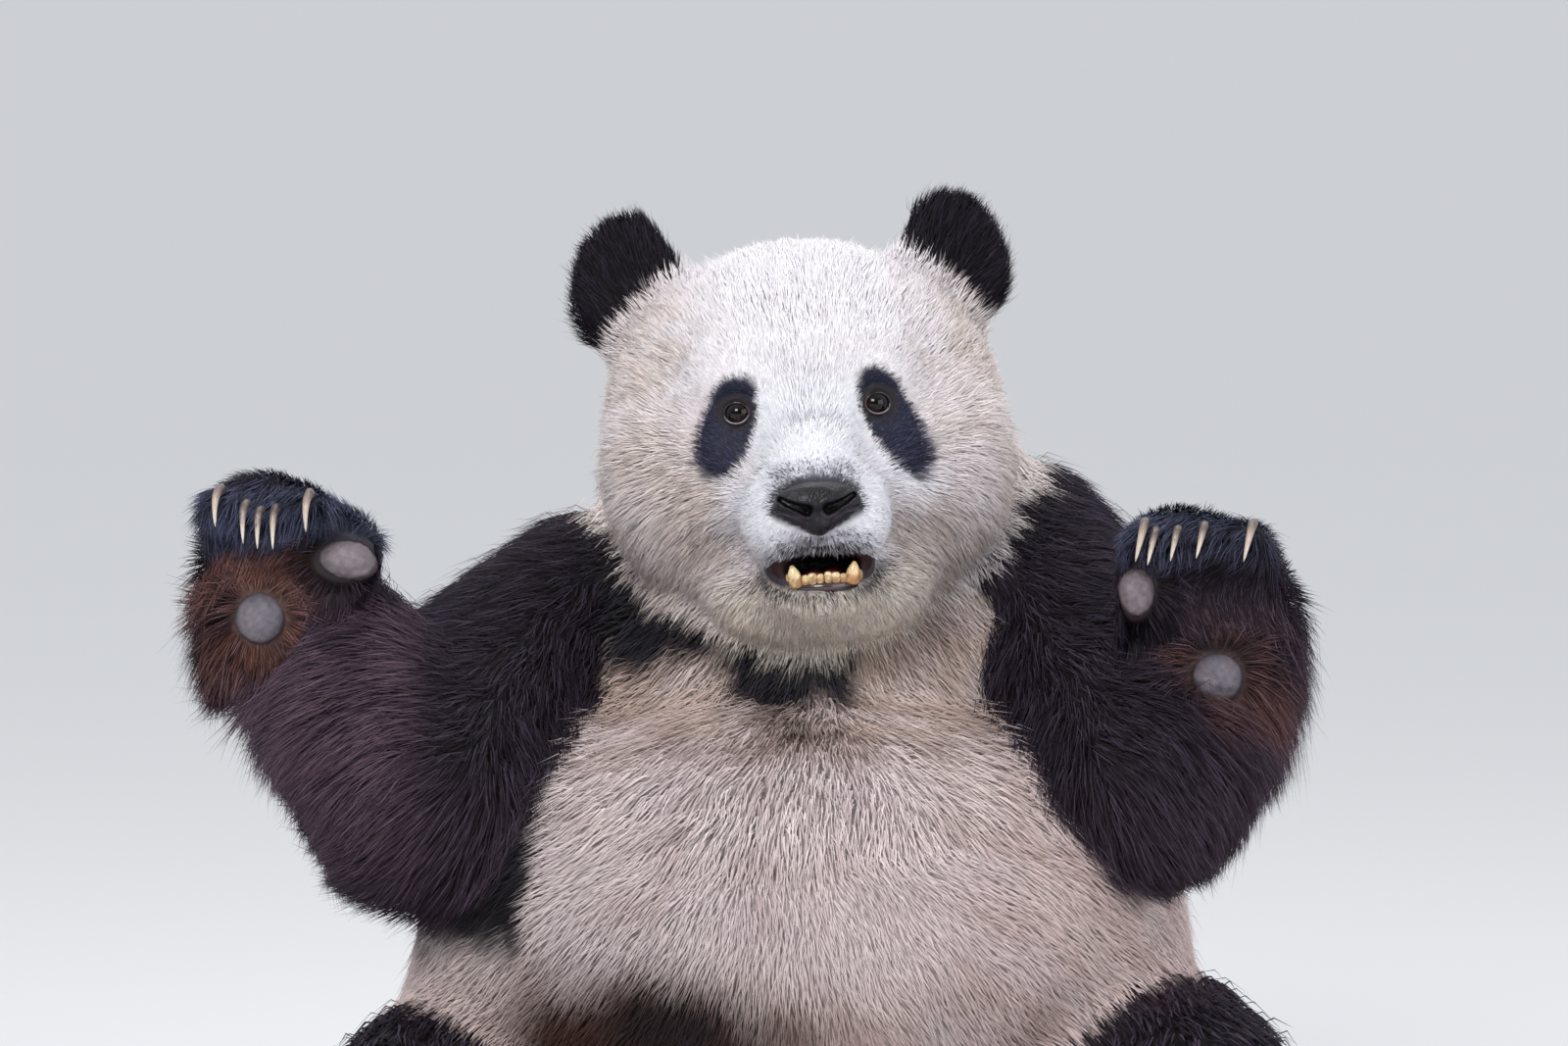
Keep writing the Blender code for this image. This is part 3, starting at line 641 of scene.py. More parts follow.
def black_band(places):
    """1 where the dark band over the shoulders and chest lies."""
    x, y, z = places.T
    point = step(-0.068, -0.045, x) * step(0.040, 0.016, x)
    lower = 0.446 - 0.040 * point + 0.045 * step(0.020, 0.060, x) - 0.20 * step(0.165, 0.215, np.abs(x))
    behind = step(0.02, 0.16, y)
    lower = lower * (1.0 - behind) + 0.370 * behind
    height = z + (0.012 * CLOUDS.at(places) + 0.006 * FLECKS.at(places))
    upper = 0.545 - 0.03 * behind + 0.05 * step(0.10, -0.02, y)
    return step(lower - 0.016, lower + 0.016, height) * step(upper, upper - 0.030, height)


def trunk_colours(places):
    """The coat's colour over neck, chest, belly and rump."""
    x, y, z = places.T
    blotch, cloud, fleck = BLOTCHES.at(places), CLOUDS.at(places), FLECKS.at(places)
    front = step(0.10, -0.06, y)
    warm = step(0.02, 0.18, x - 0.45 * (z - 0.28)) * front
    warm = np.maximum(warm, step(0.26, 0.19, z) * front * 0.8)
    layers = [(DIRTY, capped(front * (0.85 + 0.2 * blotch))), (PINKISH, capped(warm * (0.70 + 0.35 * cloud)))]
    for across, height, size, strength in SMUDGES:
        smudge = bell(np.hypot(x - across, (z - height) * 1.3) / size, 1.0) * front * strength
        layers.append((SMUDGE, capped(smudge * (0.15 + 0.4 * cloud + 0.25 * fleck), 0.3)))
    # Painted shade along a fold across the upper belly, below the dark band.
    fold_shade = bell(z - 0.378 - 0.10 * np.abs(x), 0.010) * front
    # The groin: dark brown fur with painted shade between belly and thigh, and a painted shadow at its deepest.
    groin = blot(x, z, -0.112, 0.188, 0.095, 0.042) * step(-0.05, -0.16, y)
    groin_shadow = blot(x, z, -0.100, 0.200, 0.040, 0.024)
    colours = layered(BACK, *layers,
                      (DUSTY, capped(step(0.365, 0.400, z) * front * (0.80 + 0.4 * cloud), 0.95)),
                      (FOLD_SHADE, capped(fold_shade * (0.30 + 0.5 * cloud), 0.4)),
                      (STRAW, capped(0.35 * (cloud + 0.55 * fleck - 0.15), 0.35) * front),
                      (BROWN * 0.45, capped(groin * (1.60 + 0.4 * cloud))),
                      (GROIN_SHADOW, capped(groin_shadow * 1.5, 0.95) * (y < -0.1)), (SEAT, 0.5 * step(0.06, 0.01, z)),
                      (NAPE, step(0.500, 0.540, z) * 0.9), (BLACK, black_band(places)))
    return colours * (1.0 + 0.07 * fleck)[:, None]


def limb_colours(places, palms):
    """Black limbs, browner on the palms, with purplish painted sheen on the front of the arms, most on the right
    one.
    """
    x, y, z = places.T
    cloud, fleck = CLOUDS.at(places), FLECKS.at(places)
    # Painted sheen: purplish brown over the front of the arms where the light catches them, most on the right.
    painted_sheen = bell(z - 0.415, 0.065) * step(0.05, -0.08, y)
    painted_sheen *= step(0.262, 0.300, -x) + 0.30 * step(0.262, 0.300, x)
    low = step(0.40, 0.32, z) * (z > 0.20)
    # Painted sheen: the black fur over the toes is tinted blue-grey.
    toes = step(0.525, 0.550, z) * step(-0.10, -0.14, y) * (np.abs(x) > 0.22)
    hip = step(0.140, 0.165, z + 0.010 * cloud) * step(-0.02, -0.10, y) * (x < 0.0)
    hip *= (np.abs(x) < 0.30) * step(-0.22, -0.18, x)
    colours = layered(BLACK, (BLACK_WARM, capped(0.12 + 0.95 * painted_sheen * (0.8 + 0.4 * cloud) + 0.22 * low)),
                      (BLUE_SHEEN, capped(toes * (0.9 + 0.4 * cloud))),
                      (PALM, capped(palms * (0.85 + 0.40 * cloud + 0.25 * fleck))),
                      (PINKISH * 0.8, hip * (z < 0.25)))
    return colours * (1.0 + 0.12 * fleck)[:, None]


def palm_share(points, facing, owners):
    """How far each place lies on a palm or a sole; facing is less than 0 toward the front."""
    x, _, z = points.T
    share = np.zeros(len(points))
    for side, sign in SIDES:
        pad = np.array(middle(f"pad_heel_{side}"))
        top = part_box(f"forepaw_{side}")[1].z
        inward = (x - pad[0]) * -sign
        near = np.hypot(x - pad[0] - 0.004 * sign, (z - pad[2]) * 0.85)
        palm = step(0.044, 0.026, near) * step(0.30, -0.45, facing)
        palm *= step(0.034, 0.018, inward) * step(-0.042, -0.026, z - pad[2])
        under_toes = step(top - 0.050, top - 0.066, z) * step(pad[2], pad[2] + 0.020, z)
        under_toes *= step(-0.2, -0.7, facing) * step(0.80, 0.30, capped(inward / 0.070))
        palm = np.maximum(palm, under_toes * (1.0 if side == "right" else 0.12))
        hand = owned(owners, f"forepaw_{side}", f"forearm_{side}")
        share = np.where(hand, palm * (1.0 if side == "right" else 0.62), share)
        share = np.where(owned(owners, f"hindfoot_{side}"), 0.55 * step(-0.45, -0.85, facing), share)
    return share


def coat_colours():
    """The coat's colour at each point of the skin, the same for skin and tufts."""
    places = SKIN_POINTS - TRUNK_SHIFT
    colours = np.empty((len(places), 3))
    on_head, on_trunk = owned(SKIN_OWNERS, *ON_HEAD), owned(SKIN_OWNERS, *TRUNK)
    rest = ~(on_head | on_trunk)
    colours[on_head] = head_colours(SKIN_HEADS[on_head])
    colours[on_trunk] = trunk_colours(places[on_trunk])
    palms = palm_share(SKIN_POINTS[rest], SKIN_NORMALS[rest, 1], SKIN_OWNERS[rest])
    colours[rest] = limb_colours(places[rest], palms)
    colours[owned(SKIN_OWNERS, *both("ear"))] *= 0.55
    return np.clip(colours, 0.002, 0.95)


def skin_colours():
    """The coat's colours, darker as painted shade under the hair, with bare mouth, lips, lids and beds of nose and
    pads.
    """
    y, reach, rim = SKIN_HEADS[:, 1], mouth_reach(SKIN_HEADS), nose_rim(SKIN_HEADS)
    above = step(-0.02, 0.0, SKIN_HEADS[:, 2] - NOSE_OUTLINE[2])
    # Painted shadow: the mouth's dark pink lining turns near black deep inside.
    lining = layered(MOUTH_PINK, (MOUTH_SHADOW, step(-0.178, -0.150, y)))
    colours = layered(COAT_COLOURS * 0.80, (DARK_LIP, step(1.34, 1.20, reach) * (y < -0.085)),
                      (BESIDE_NOSE, step(1.30, 1.05, rim) * (y < -0.17) * above),
                      (lining, step(1.04, 0.98, reach) * (y < -0.085)),
                      *((LID, step(1.9, 1.5, lid_reach(eye_places(SKIN_HEADS, eye)))
                         * (far(SKIN_HEADS, eye.centre) < 0.030)) for eye in EYES),
                      (NOSE_EDGE, step(1.04, 0.96, rim) * (y < -0.17)))
    colours[owned(SKIN_OWNERS, *both("pad_heel", "pad_thumb", "pad_sole"))] = PAD_BED
    return colours


# ---------------------------------------------------------------- the lie of the coat
def columns(*values):
    """Three columns over the skin's points, each from an array or one number."""
    return np.stack([np.broadcast_to(value, len(SKIN_POINTS)) for value in values], 1)


def turned(flow, share, other):
    """The flow turned toward another one by a share for each point."""
    return flow * (1.0 - share)[:, None] + share[:, None] * other


def flow_directions():
    """Which way the hair lies at each point of the skin."""
    points, facing = SKIN_POINTS, SKIN_NORMALS[:, 1]
    x, y, _ = (points - TRUNK_SHIFT).T
    z = points[:, 2]
    flow = np.tile(DOWN, (len(points), 1))

    def put(name, directions):
        own = SKIN_OWNERS == NUMBER[name]
        flow[own] = unit(directions)[own]

    sag = step(0.05, 0.13, np.abs(SKIN_HEADS[:, 0])) * step(0.06, -0.06, SKIN_HEADS[:, 2])
    under = step(-0.085, -0.125, SKIN_HEADS[:, 2])
    from_nose = unit(SKIN_HEADS - NOSE_TIP) + 0.55 * sag[:, None] * DOWN + 0.20 * under[:, None] * DOWN
    for name in ON_HEAD:
        put(name, from_nose @ HEAD_AXES.T)
    put("neck", unit(columns(x * 1.2, y - 0.12, -0.16)) + 0.4 * DOWN)
    put("chest", columns(x * 1.6, np.minimum(y * 0.6, 0.0), -0.20))
    put("belly", columns(x * 1.3 + 0.02, 0.0, -0.18))
    put("rump", columns(x * 0.5, 0.0, -0.25))
    put("tail", columns(0.0, 0.75, -0.65))
    for side, sign in SIDES:
        low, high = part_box(f"ear_{side}")
        put(f"ear_{side}", points - np.array(((low.x + high.x) / 2.0 - 0.03 * sign,
                                              (low.y + high.y) / 2.0 + 0.01, low.z - 0.02)))
        put(f"upper_arm_{side}", columns(0.62 * sign, 0.0, -0.75))
        put(f"forearm_{side}", columns(*((-0.80, 0.05, -0.50) if side == "right" else (0.40, 0.05, -0.85))))
        from_paw = points - np.array(middle(f"forepaw_{side}"))
        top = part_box(f"forepaw_{side}")[1].z
        over = unit(columns(0.020 * sign, -from_paw[:, 2], from_paw[:, 1]))
        over = turned(over, step(-0.3, -0.8, facing), unit(np.array((0.45 * sign, 0.0, -0.80))))
        toes = step(top - 0.075, top - 0.050, z) * step(0.5, 0.0, facing)
        over = unit(turned(over, toes, unit(np.array((-0.42, -0.35, -1.0)))))
        wrist = step(0.0, 0.7, SKIN_NORMALS[:, 0] * sign) * step(top - 0.05, top - 0.10, z)
        put(f"forepaw_{side}", turned(over, wrist, unit(np.array((0.75 * sign, -0.1, -0.9)))))
        knee = columns(0.25 * sign, -0.75, -0.45)
        put(f"thigh_{side}", knee)
        put(f"shank_{side}", knee + 0.2 * DOWN)
        from_foot = points - np.array(middle(f"hindfoot_{side}"))
        put(f"hindfoot_{side}", columns(0.0, -from_foot[:, 2] - 0.01, from_foot[:, 1] + 0.01))
    flow = spread(flow, SKIN_EDGES, 14)
    for pad in PADS.values():
        away = points - pad.place
        round_pad = step(0.024, 0.006, np.hypot(away[:, 0], away[:, 2]) - max(pad.width, pad.height))
        round_pad *= (np.abs(away[:, 1]) < 0.03) * step(0.2, -0.3, facing)
        away[:, 1] = 0.0
        flow = turned(flow, round_pad, unit(away + 0.008 * DOWN))
    sway = np.stack([CLOUDS.at(points + shift) for shift in (0.0, 0.37, 0.71)], 1)
    whirl = np.stack([BLOTCHES.at(points + shift) for shift in (0.13, 0.53, 0.91)], 1)
    calm = np.where(owned(SKIN_OWNERS, "head", "jaw"), 0.45, 1.0)[:, None]
    flow = unit(flow) + calm * (0.16 * sway + 0.14 * whirl)
    return unit(flow - SKIN_NORMALS * dot(flow, SKIN_NORMALS)[:, None])


def bare_skin():
    """True where no hair grows: mouth, lids, nose and pads."""
    y, z = SKIN_HEADS[:, 1], SKIN_HEADS[:, 2]
    upper = z > MOUTH_CENTRE[2] + 0.4 * MOUTH_RADII[2]
    bare = owned(SKIN_OWNERS, *both("eye")) | (nose_rim(SKIN_HEADS) < 0.94) & (y < -0.185)
    bare |= (mouth_reach(SKIN_HEADS) < np.where(upper, 1.04, 1.30)) & (y < -0.085)
    for eye in EYES:
        bare |= (lid_reach(eye_places(SKIN_HEADS, eye)) < 1.40) & (far(SKIN_HEADS, eye.centre) < 0.030)
    for pad in PADS.values():
        away = SKIN_POINTS - pad.place
        near = (np.abs(away[:, 1]) < PAD_ROOM) & (SKIN_NORMALS[:, 1] < 0.2)
        bare |= (pad_reach(away, pad, 0.003) < 1.0) & near
    return bare


def coat_fields():
    """Per point of the skin: depth, length, width, density and lock of the coat, flow, colour, dark and contrast."""
    found = spread(FULL_COATS[SKIN_OWNERS], SKIN_EDGES, 7)
    depth, length, width, density, lock, contrast = found.T
    thin = face_thinning(SKIN_HEADS, SKIN_OWNERS)
    depth, length, width = depth * thin, length * thin, width * (0.52 + 0.48 * thin)
    face = step(0.01, -0.03, SKIN_HEADS[:, 1]) * owned(SKIN_OWNERS, "head", "jaw")
    density = density / (0.30 + 0.70 * np.minimum(thin, 1.0)) * (1.0 + 0.55 * face)
    density = np.where(bare_skin(), 0.0, density)
    density = np.where(SKIN_POINTS[:, 2] < 0.006, density * 0.15, density)
    z = SKIN_POINTS[:, 2]
    for side, sign in SIDES:
        outward = SKIN_NORMALS[:, 0] * sign
        arm = owned(SKIN_OWNERS, f"forearm_{side}", f"upper_arm_{side}")
        length = length * (1.0 - 0.12 * (step(0.2, 0.8, outward) * arm))
        paw = owned(SKIN_OWNERS, f"forepaw_{side}")
        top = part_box(f"forepaw_{side}")[1].z
        fringe = step(0.1, 0.7, outward) * step(top - 0.05, top - 0.10, z) * step(0.36, 0.40, z)
        fringe = fringe * owned(SKIN_OWNERS, f"forepaw_{side}", f"forearm_{side}")
        toes = step(top - 0.065, top - 0.040, z) * paw
        length = length * (1.0 + (1.50 * paw + 0.40 * ~paw) * fringe) * (1.0 + 0.50 * toes)
        depth = depth * (1.0 + (3.2 * paw + 0.9 * ~paw) * fringe)
        depth = depth * (1.0 + 0.55 * toes * step(0.0, -0.7, SKIN_NORMALS[:, 1]))
    x, y, z = SKIN_HEADS.T
    under = step(0.048, 0.018, np.abs(x)) * step(-0.044, -0.056, z) * step(-0.095, -0.080, z)
    chin = step(2.3, 1.2, mouth_reach(SKIN_HEADS)) * step(-0.078, -0.088, z)
    pepper = capped(0.85 * above_nose(SKIN_HEADS) + 0.52 * under + 0.60 * chin, 0.85) * (y < -0.11)
    contrast = contrast * (1.0 - 0.68 * step(0.62, 0.78, COAT_COLOURS.mean(1)))
    return np.column_stack((depth, length, width, density, lock, flow_directions(), COAT_COLOURS, pepper, contrast))


COAT_COLOURS = coat_colours()
FIELDS = coat_fields()
DENSITY, FLOW, COLOUR, PEPPER, CONTRAST = 3, slice(5, 8), slice(8, 11), 11, 12


# ---------------------------------------------------------------- tufts
SHEEN_TIP = tone(96, 90, 116)
GUARD_SHARE = 0.11               # of the tufts are guard hairs, longer, thinner and more upright
GLINT_SHARE = 0.25               # of the dark tufts shine at their tips
TURN_SPREAD = 0.16               # how far tufts turn from the flow, in radians
ROOT_DEPTH = 0.0012              # below the skin
KNEE = 0.46                      # where along its length a tuft is widest and bends down
TUFT_FACES = np.array(((1, 2, 4), (2, 3, 4), (3, 1, 4), (2, 1, 0), (3, 2, 0), (1, 3, 0)))
# Where a tuft's five points lie in the texture, round its root's place.
TUFT_PATCH = 0.0015 * np.array(((0.0, -1.0), (0.0, 0.0), (-1.0, 0.1), (1.0, 0.1), (0.0, 1.0)))


def unwrapped(points, triangles):
    """Texture places for each corner of a patch of skin, on an unwrap of its own shape that fills the square."""
    used, packed = np.unique(triangles, return_inverse=True)
    patch = shown(bpy.data.objects.new("patch", new_mesh("patch", points[used], packed.reshape(-1, 3))))
    bpy.context.view_layer.objects.active = patch
    patch.select_set(True)
    bpy.ops.object.mode_set(mode="EDIT")
    bpy.ops.mesh.select_all(action="SELECT")
    bpy.ops.uv.smart_project(angle_limit=math.radians(70.0), island_margin=0.006)
    bpy.ops.object.mode_set(mode="OBJECT")
    places = numbers(patch.data.uv_layers.active.data, "uv", 2).astype(float).reshape(-1, 3, 2)
    discard(patch)
    return places


def tuft_weights(chosen):
    """How many tufts, in ten thousands, each of the chosen triangles asks for."""
    a, b, c = SKIN_POINTS[SKIN_TRIANGLES[chosen]].transpose(1, 0, 2)
    area = np.linalg.norm(np.cross(b - a, c - a), axis=1) / 2.0
    return area * FIELDS[:, DENSITY][SKIN_TRIANGLES[chosen]].mean(1)


def roots_on(weights, count, draw):
    """Spreads roots over triangles by weight: the triangle and the three shares of each root."""
    total = np.cumsum(weights)
    marks = (np.arange(count) + draw.uniform(0.1, 0.9, count)) / count * total[-1]
    which = np.minimum(np.searchsorted(total, marks), len(weights) - 1)
    first, second = np.sqrt(draw.uniform(size=count)), draw.uniform(size=count)
    return which, np.stack((1.0 - first, first * (1.0 - second), first * second), 1)


def drawn_together(roots, tips, lock, draw):
    """Draws each tip toward that of its lock's leader, by the strength of the lock."""
    leaders = draw.choice(len(roots), max(len(roots) // 9, 1), replace=False)
    tree = KDTree(len(leaders))
    for number, place in enumerate(roots[leaders].tolist()):
        tree.insert(place, number)
    tree.balance()
    nearest = leaders[np.array([tree.find(place)[1] for place in roots.tolist()])]
    pull = lock * step(0.016, 0.006, np.linalg.norm(roots - roots[nearest], axis=1))
    return tips + (tips[nearest] - tips) * pull[:, None]


def tuft_arrays(roots, normals, fields, draw):
    """Five points for each tuft, root, three round its middle and tip, with their normals and colours."""
    def leaning(angle):
        return lie * np.cos(angle)[:, None] + normals * np.sin(angle)[:, None]

    count = len(roots)
    depth, length, width, _, lock = fields[:, :5].T
    flow = unit(fields[:, FLOW] - normals * dot(fields[:, FLOW], normals)[:, None])
    turn = draw.normal(0.0, TURN_SPREAD, count)
    lie = unit(flow * np.cos(turn)[:, None] + np.cross(flow, normals) * np.sin(turn)[:, None])
    guard = draw.uniform(size=count) < GUARD_SHARE
    rise = np.clip(depth / (0.76 * length), 0.10, 0.80) * draw.uniform(0.60, 1.25, count)
    rise = np.arcsin(capped(np.where(guard, rise * 1.30, rise), 0.95))
    length = length * draw.uniform(0.72, 1.14, count) * np.where(guard, 1.25, 1.0)
    width = width * draw.uniform(0.70, 1.20, count) * np.where(guard, 0.55, 1.0)
    roots = roots - normals * ROOT_DEPTH
    knees = roots + KNEE * length[:, None] * leaning(rise)
    tips = knees + (1.0 - KNEE) * length[:, None] * leaning(rise * 0.38)
    tips[:, 2] -= 0.10 * length * np.clip(length / 0.04, 0.3, 1.0)
    tips = drawn_together(roots, tips, lock, draw)
    along = unit(tips - roots)
    side = unit(np.cross(normals, along))
    over = np.cross(along, side)
    ring = [side * math.cos(math.radians(angle)) + over * math.sin(math.radians(angle)) * 0.55
            for angle in (90.0, 210.0, 330.0)]
    points = np.stack((roots, *(knees + way * (width[:, None] / 2.0) for way in ring), tips), 1)
    points[:, :, 2] = np.maximum(points[:, :, 2], GROUND)
    shading = np.stack((normals, *(unit(normals + bend * way) for bend, way in zip((0.55, 0.75, 0.75), ring)),
                        unit(normals + 0.25 * along)), 1)
    base, contrast = fields[:, COLOUR], fields[:, CONTRAST]
    dark = step(0.10, 0.03, base.mean(1))
    base = np.where((draw.uniform(size=count) < fields[:, PEPPER])[:, None], base * 0.12, base)
    vary = 1.0 + (draw.normal(0.0, 0.09 + 0.06 * dark, count) + 0.26 * CLUMPS.at(roots)) * contrast
    glint = dark * contrast * np.where(draw.uniform(size=count) < GLINT_SHARE, 0.60, 0.06)
    sheen = np.minimum(base * 9.0, 0.9) * 0.45 + SHEEN_TIP * 0.55
    # Painted shade deep in the coat: each tuft darkens toward its root by its contrast.
    root_tone = base * ((1.0 - 0.44 * contrast) * vary)[:, None]
    knee_tone = layered(base * vary[:, None], (sheen, 0.35 * glint))
    tip_tone = layered(base * ((1.06 + 0.15 * dark) * vary)[:, None], (sheen, glint))
    colours = np.stack((root_tone, knee_tone, knee_tone, knee_tone, tip_tone), 1)
    return points, shading, np.clip(colours, 0.001, 0.95)


def clear_of_palm(points, side):
    """True for the tufts that don't hang over a forepaw's pads or the tips of its middle claws."""
    root, knee, end = points[:, :1], points[:, 1:2], points[:, 4:]
    places = np.concatenate([a * (1.0 - t) + b * t for a, b in ((root, knee), (knee, end))
                             for t in (0.3, 0.65, 1.0)], 1)
    clear = np.ones(len(points), bool)
    for number in (2, 3, 4):
        _, _, bend, tip = claw_bend(f"claw_fore_{side}_{number}")
        for place in (tip, tip * 0.75 + bend * 0.25):
            away = places - place
            over = (np.abs(away[..., 0]) < 0.0032) & (np.abs(away[..., 2]) < 0.0050) & (away[..., 1] < 0.003)
            clear &= ~over.any(1)
    for pad in PADS.values():
        away = places - pad.place
        clear &= ~((pad_reach(away, pad) < 0.90) & (np.abs(away[..., 1]) < PAD_ROOM)).any(1)
    return clear


def build_coat(name, regions, finish, keep=None):
    """One piece of coat over the named regions, or over the part of them where keep says so."""
    wanted = owned(SKIN_OWNERS[SKIN_TRIANGLES], *regions).sum(1) >= 2
    if keep is not None:
        wanted &= keep(SKIN_HEADS[SKIN_TRIANGLES].mean(1))
    chosen = np.flatnonzero(wanted)
    draw = np.random.default_rng(SEED + sum(map(ord, name)))
    weights = tuft_weights(chosen)
    count = int(min(float(weights.sum() * 1e4), MOST_TUFTS) * TUFT_SHARE)
    which, shares = roots_on(weights, count, draw)
    roots, normals, fields = ((values[SKIN_TRIANGLES[chosen[which]]] * shares[:, :, None]).sum(1)
                              for values in (SKIN_POINTS, SKIN_NORMALS, FIELDS))
    points, shading, colours = tuft_arrays(roots, unit(normals), fields, draw)
    if "forepaw" in name or "arm" in name:
        clear = clear_of_palm(points, name.rsplit("_", 1)[1])
        points, shading, colours, which, shares = (x[clear] for x in (points, shading, colours, which, shares))
    triangles = (TUFT_FACES[None] + 5 * np.arange(len(points))[:, None, None]).reshape(-1, 3)
    slot = "white_fur" if finish == "fur_white" else "black_fur"
    mesh = new_piece(name, points.reshape(-1, 3), triangles, colours.reshape(-1, 3), finish, slot)
    bent_normals = mesh.attributes.new("custom_normal", "FLOAT_VECTOR", "POINT")
    bent_normals.data.foreach_set("vector", shading.astype(np.float32).ravel())
    places = unwrapped(SKIN_POINTS, SKIN_TRIANGLES[chosen])
    spots = (places[which] * shares[:, :, None]).sum(1)[:, None] + TUFT_PATCH
    layer = mesh.uv_layers.new(name="OFBake")
    layer.data.foreach_set("uv", spots.reshape(-1, 2)[triangles.ravel()].astype(np.float32).ravel())


# ---------------------------------------------------------------- finishes
Look = namedtuple("Look", "mottle_size mottle bump_size bump distance roughness specular coat sheen cells",
                  defaults=(0.0, 0.0, False))
LOOKS = {
    "fur_white": Look(0.0060, 0.10, 0.0012, 0.20, 0.0004, 0.62, 0.22, sheen=0.04),
    "fur_black": Look(0.0060, 0.22, 0.0012, 0.20, 0.0004, 0.55, 0.08),
    "skin": Look(0.0050, 0.16, 0.0016, 0.35, 0.0005, 0.60, 0.30),
    "nose_skin": Look(0.0040, 0.18, 0.0015, 0.55, 0.0006, 0.36, 0.28, 0.08, cells=True),
    "pad_skin": Look(0.0060, 0.16, 0.0014, 0.45, 0.0004, 0.55, 0.35, cells=True),
    "eye": Look(0.0012, 0.22, 0.0006, 0.02, 0.0001, 0.06, 0.30),
    "lid_rim": Look(0.0020, 0.15, 0.0006, 0.20, 0.0002, 0.28, 0.50, 0.4),
    "claw_horn": Look(0.0030, 0.18, 0.0010, 0.25, 0.0003, 0.34, 0.50, 0.15),
    "tooth": Look(0.0030, 0.15, 0.0010, 0.15, 0.0002, 0.24, 0.55, 0.45),
    "tongue": Look(0.0040, 0.15, 0.0014, 0.50, 0.0005, 0.34, 0.50, 0.35, cells=True),
}


def finish_of(name, look):
    """The painted colour mottled by noise, with a fine bump of noise or of cells."""
    made = bpy.data.materials.new(name)
    made.use_nodes = True
    nodes = made.node_tree.nodes
    body = nodes["Principled BSDF"]

    def node(kind, **values):
        added = nodes.new(f"ShaderNode{kind}")
        for key, value in values.items():
            added.inputs[key.replace("_", " ")].default_value = value
        return added

    for key, value in (("Roughness", look.roughness), ("Specular IOR Level", look.specular),
                       ("Coat Weight", look.coat), ("Coat Roughness", 0.08), ("Sheen Weight", look.sheen),
                       ("Sheen Tint", (1.0, 0.97, 0.93, 1.0))):
        body.inputs[key].default_value = value
    paint, place, scaled = node("VertexColor"), node("TexCoord"), node("VectorMath")
    paint.layer_name = "Coat"
    scaled.operation = "SCALE"
    blotch = node("TexNoise", Scale=1.0 / look.mottle_size, Detail=4.0, Roughness=0.6)
    ramp = node("MapRange", To_Min=1.0 - look.mottle, To_Max=1.0 + look.mottle)
    relief = (node("TexVoronoi", Scale=1.0 / look.bump_size) if look.cells
              else node("TexNoise", Scale=1.0 / look.bump_size, Detail=3.0))
    raised = node("Bump", Strength=look.bump, Distance=look.distance)
    for source, result, target, entry in (
            (place, "Object", blotch, "Vector"), (blotch, "Fac", ramp, "Value"), (paint, "Color", scaled, 0),
            (ramp, "Result", scaled, "Scale"), (scaled, "Vector", body, "Base Color"),
            (place, "Object", relief, "Vector"),
            (relief, "Distance" if look.cells else "Fac", raised, "Height"), (raised, "Normal", body, "Normal")):
        made.node_tree.links.new(source.outputs[result], target.inputs[entry])
    return made


FINISHES = {name: finish_of(name, look) for name, look in LOOKS.items()}


# ---------------------------------------------------------------- tubes
def tube_arrays(path, radii, sides, flatness=1.0, closed=False):
    """A round tube along a path of points, with poles at its ends unless it is closed."""
    path, count = np.asarray(path, float), len(path)
    along = unit(np.roll(path, -1, 0) - np.roll(path, 1, 0) if closed else np.gradient(path, axis=0))
    centre = path.mean(0)
    turn = 2.0 * math.pi * np.arange(sides) / sides
    first = path[0] - centre + np.array((1e-4, 2e-4, 3e-4))
    rings = []
    for index in range(count):
        if closed:
            first = path[index] - centre
        first = unit(first - along[index] * dot(first, along[index]))
        second = np.cross(along[index], first)
        ring = np.cos(turn)[:, None] * first + flatness * np.sin(turn)[:, None] * second
        rings.append(path[index] + ring * radii[index])
    points, faces = np.concatenate(rings), []
    pairs = [(corner, (corner + 1) % sides) for corner in range(sides)]
    for index in range(count if closed else count - 1):
        here, there = index * sides, (index + 1) % count * sides
        for a, b in pairs:
            faces += [(here + a, here + b, there + b), (here + a, there + b, there + a)]
    if not closed:
        points = np.concatenate((points, path[:1], path[-1:]))
        end = (count - 1) * sides
        for a, b in pairs:
            faces += [(count * sides, b, a), (count * sides + 1, end + a, end + b)]
    return points, np.array(faces)


def bent(start, bend, end, count):
    """Points along a quadratic curve."""
    share = np.linspace(0.0, 1.0, count)[:, None]
    return start * (1.0 - share) ** 2 + 2.0 * bend * share * (1.0 - share) + end * share ** 2


# ---------------------------------------------------------------- eyes
GAZE_SHARE = 0.5                 # how far the eye looks along its opening rather than straight ahead
IRIS_ANGLE = math.radians(48.0)
PUPIL_ANGLE = math.radians(15.0)


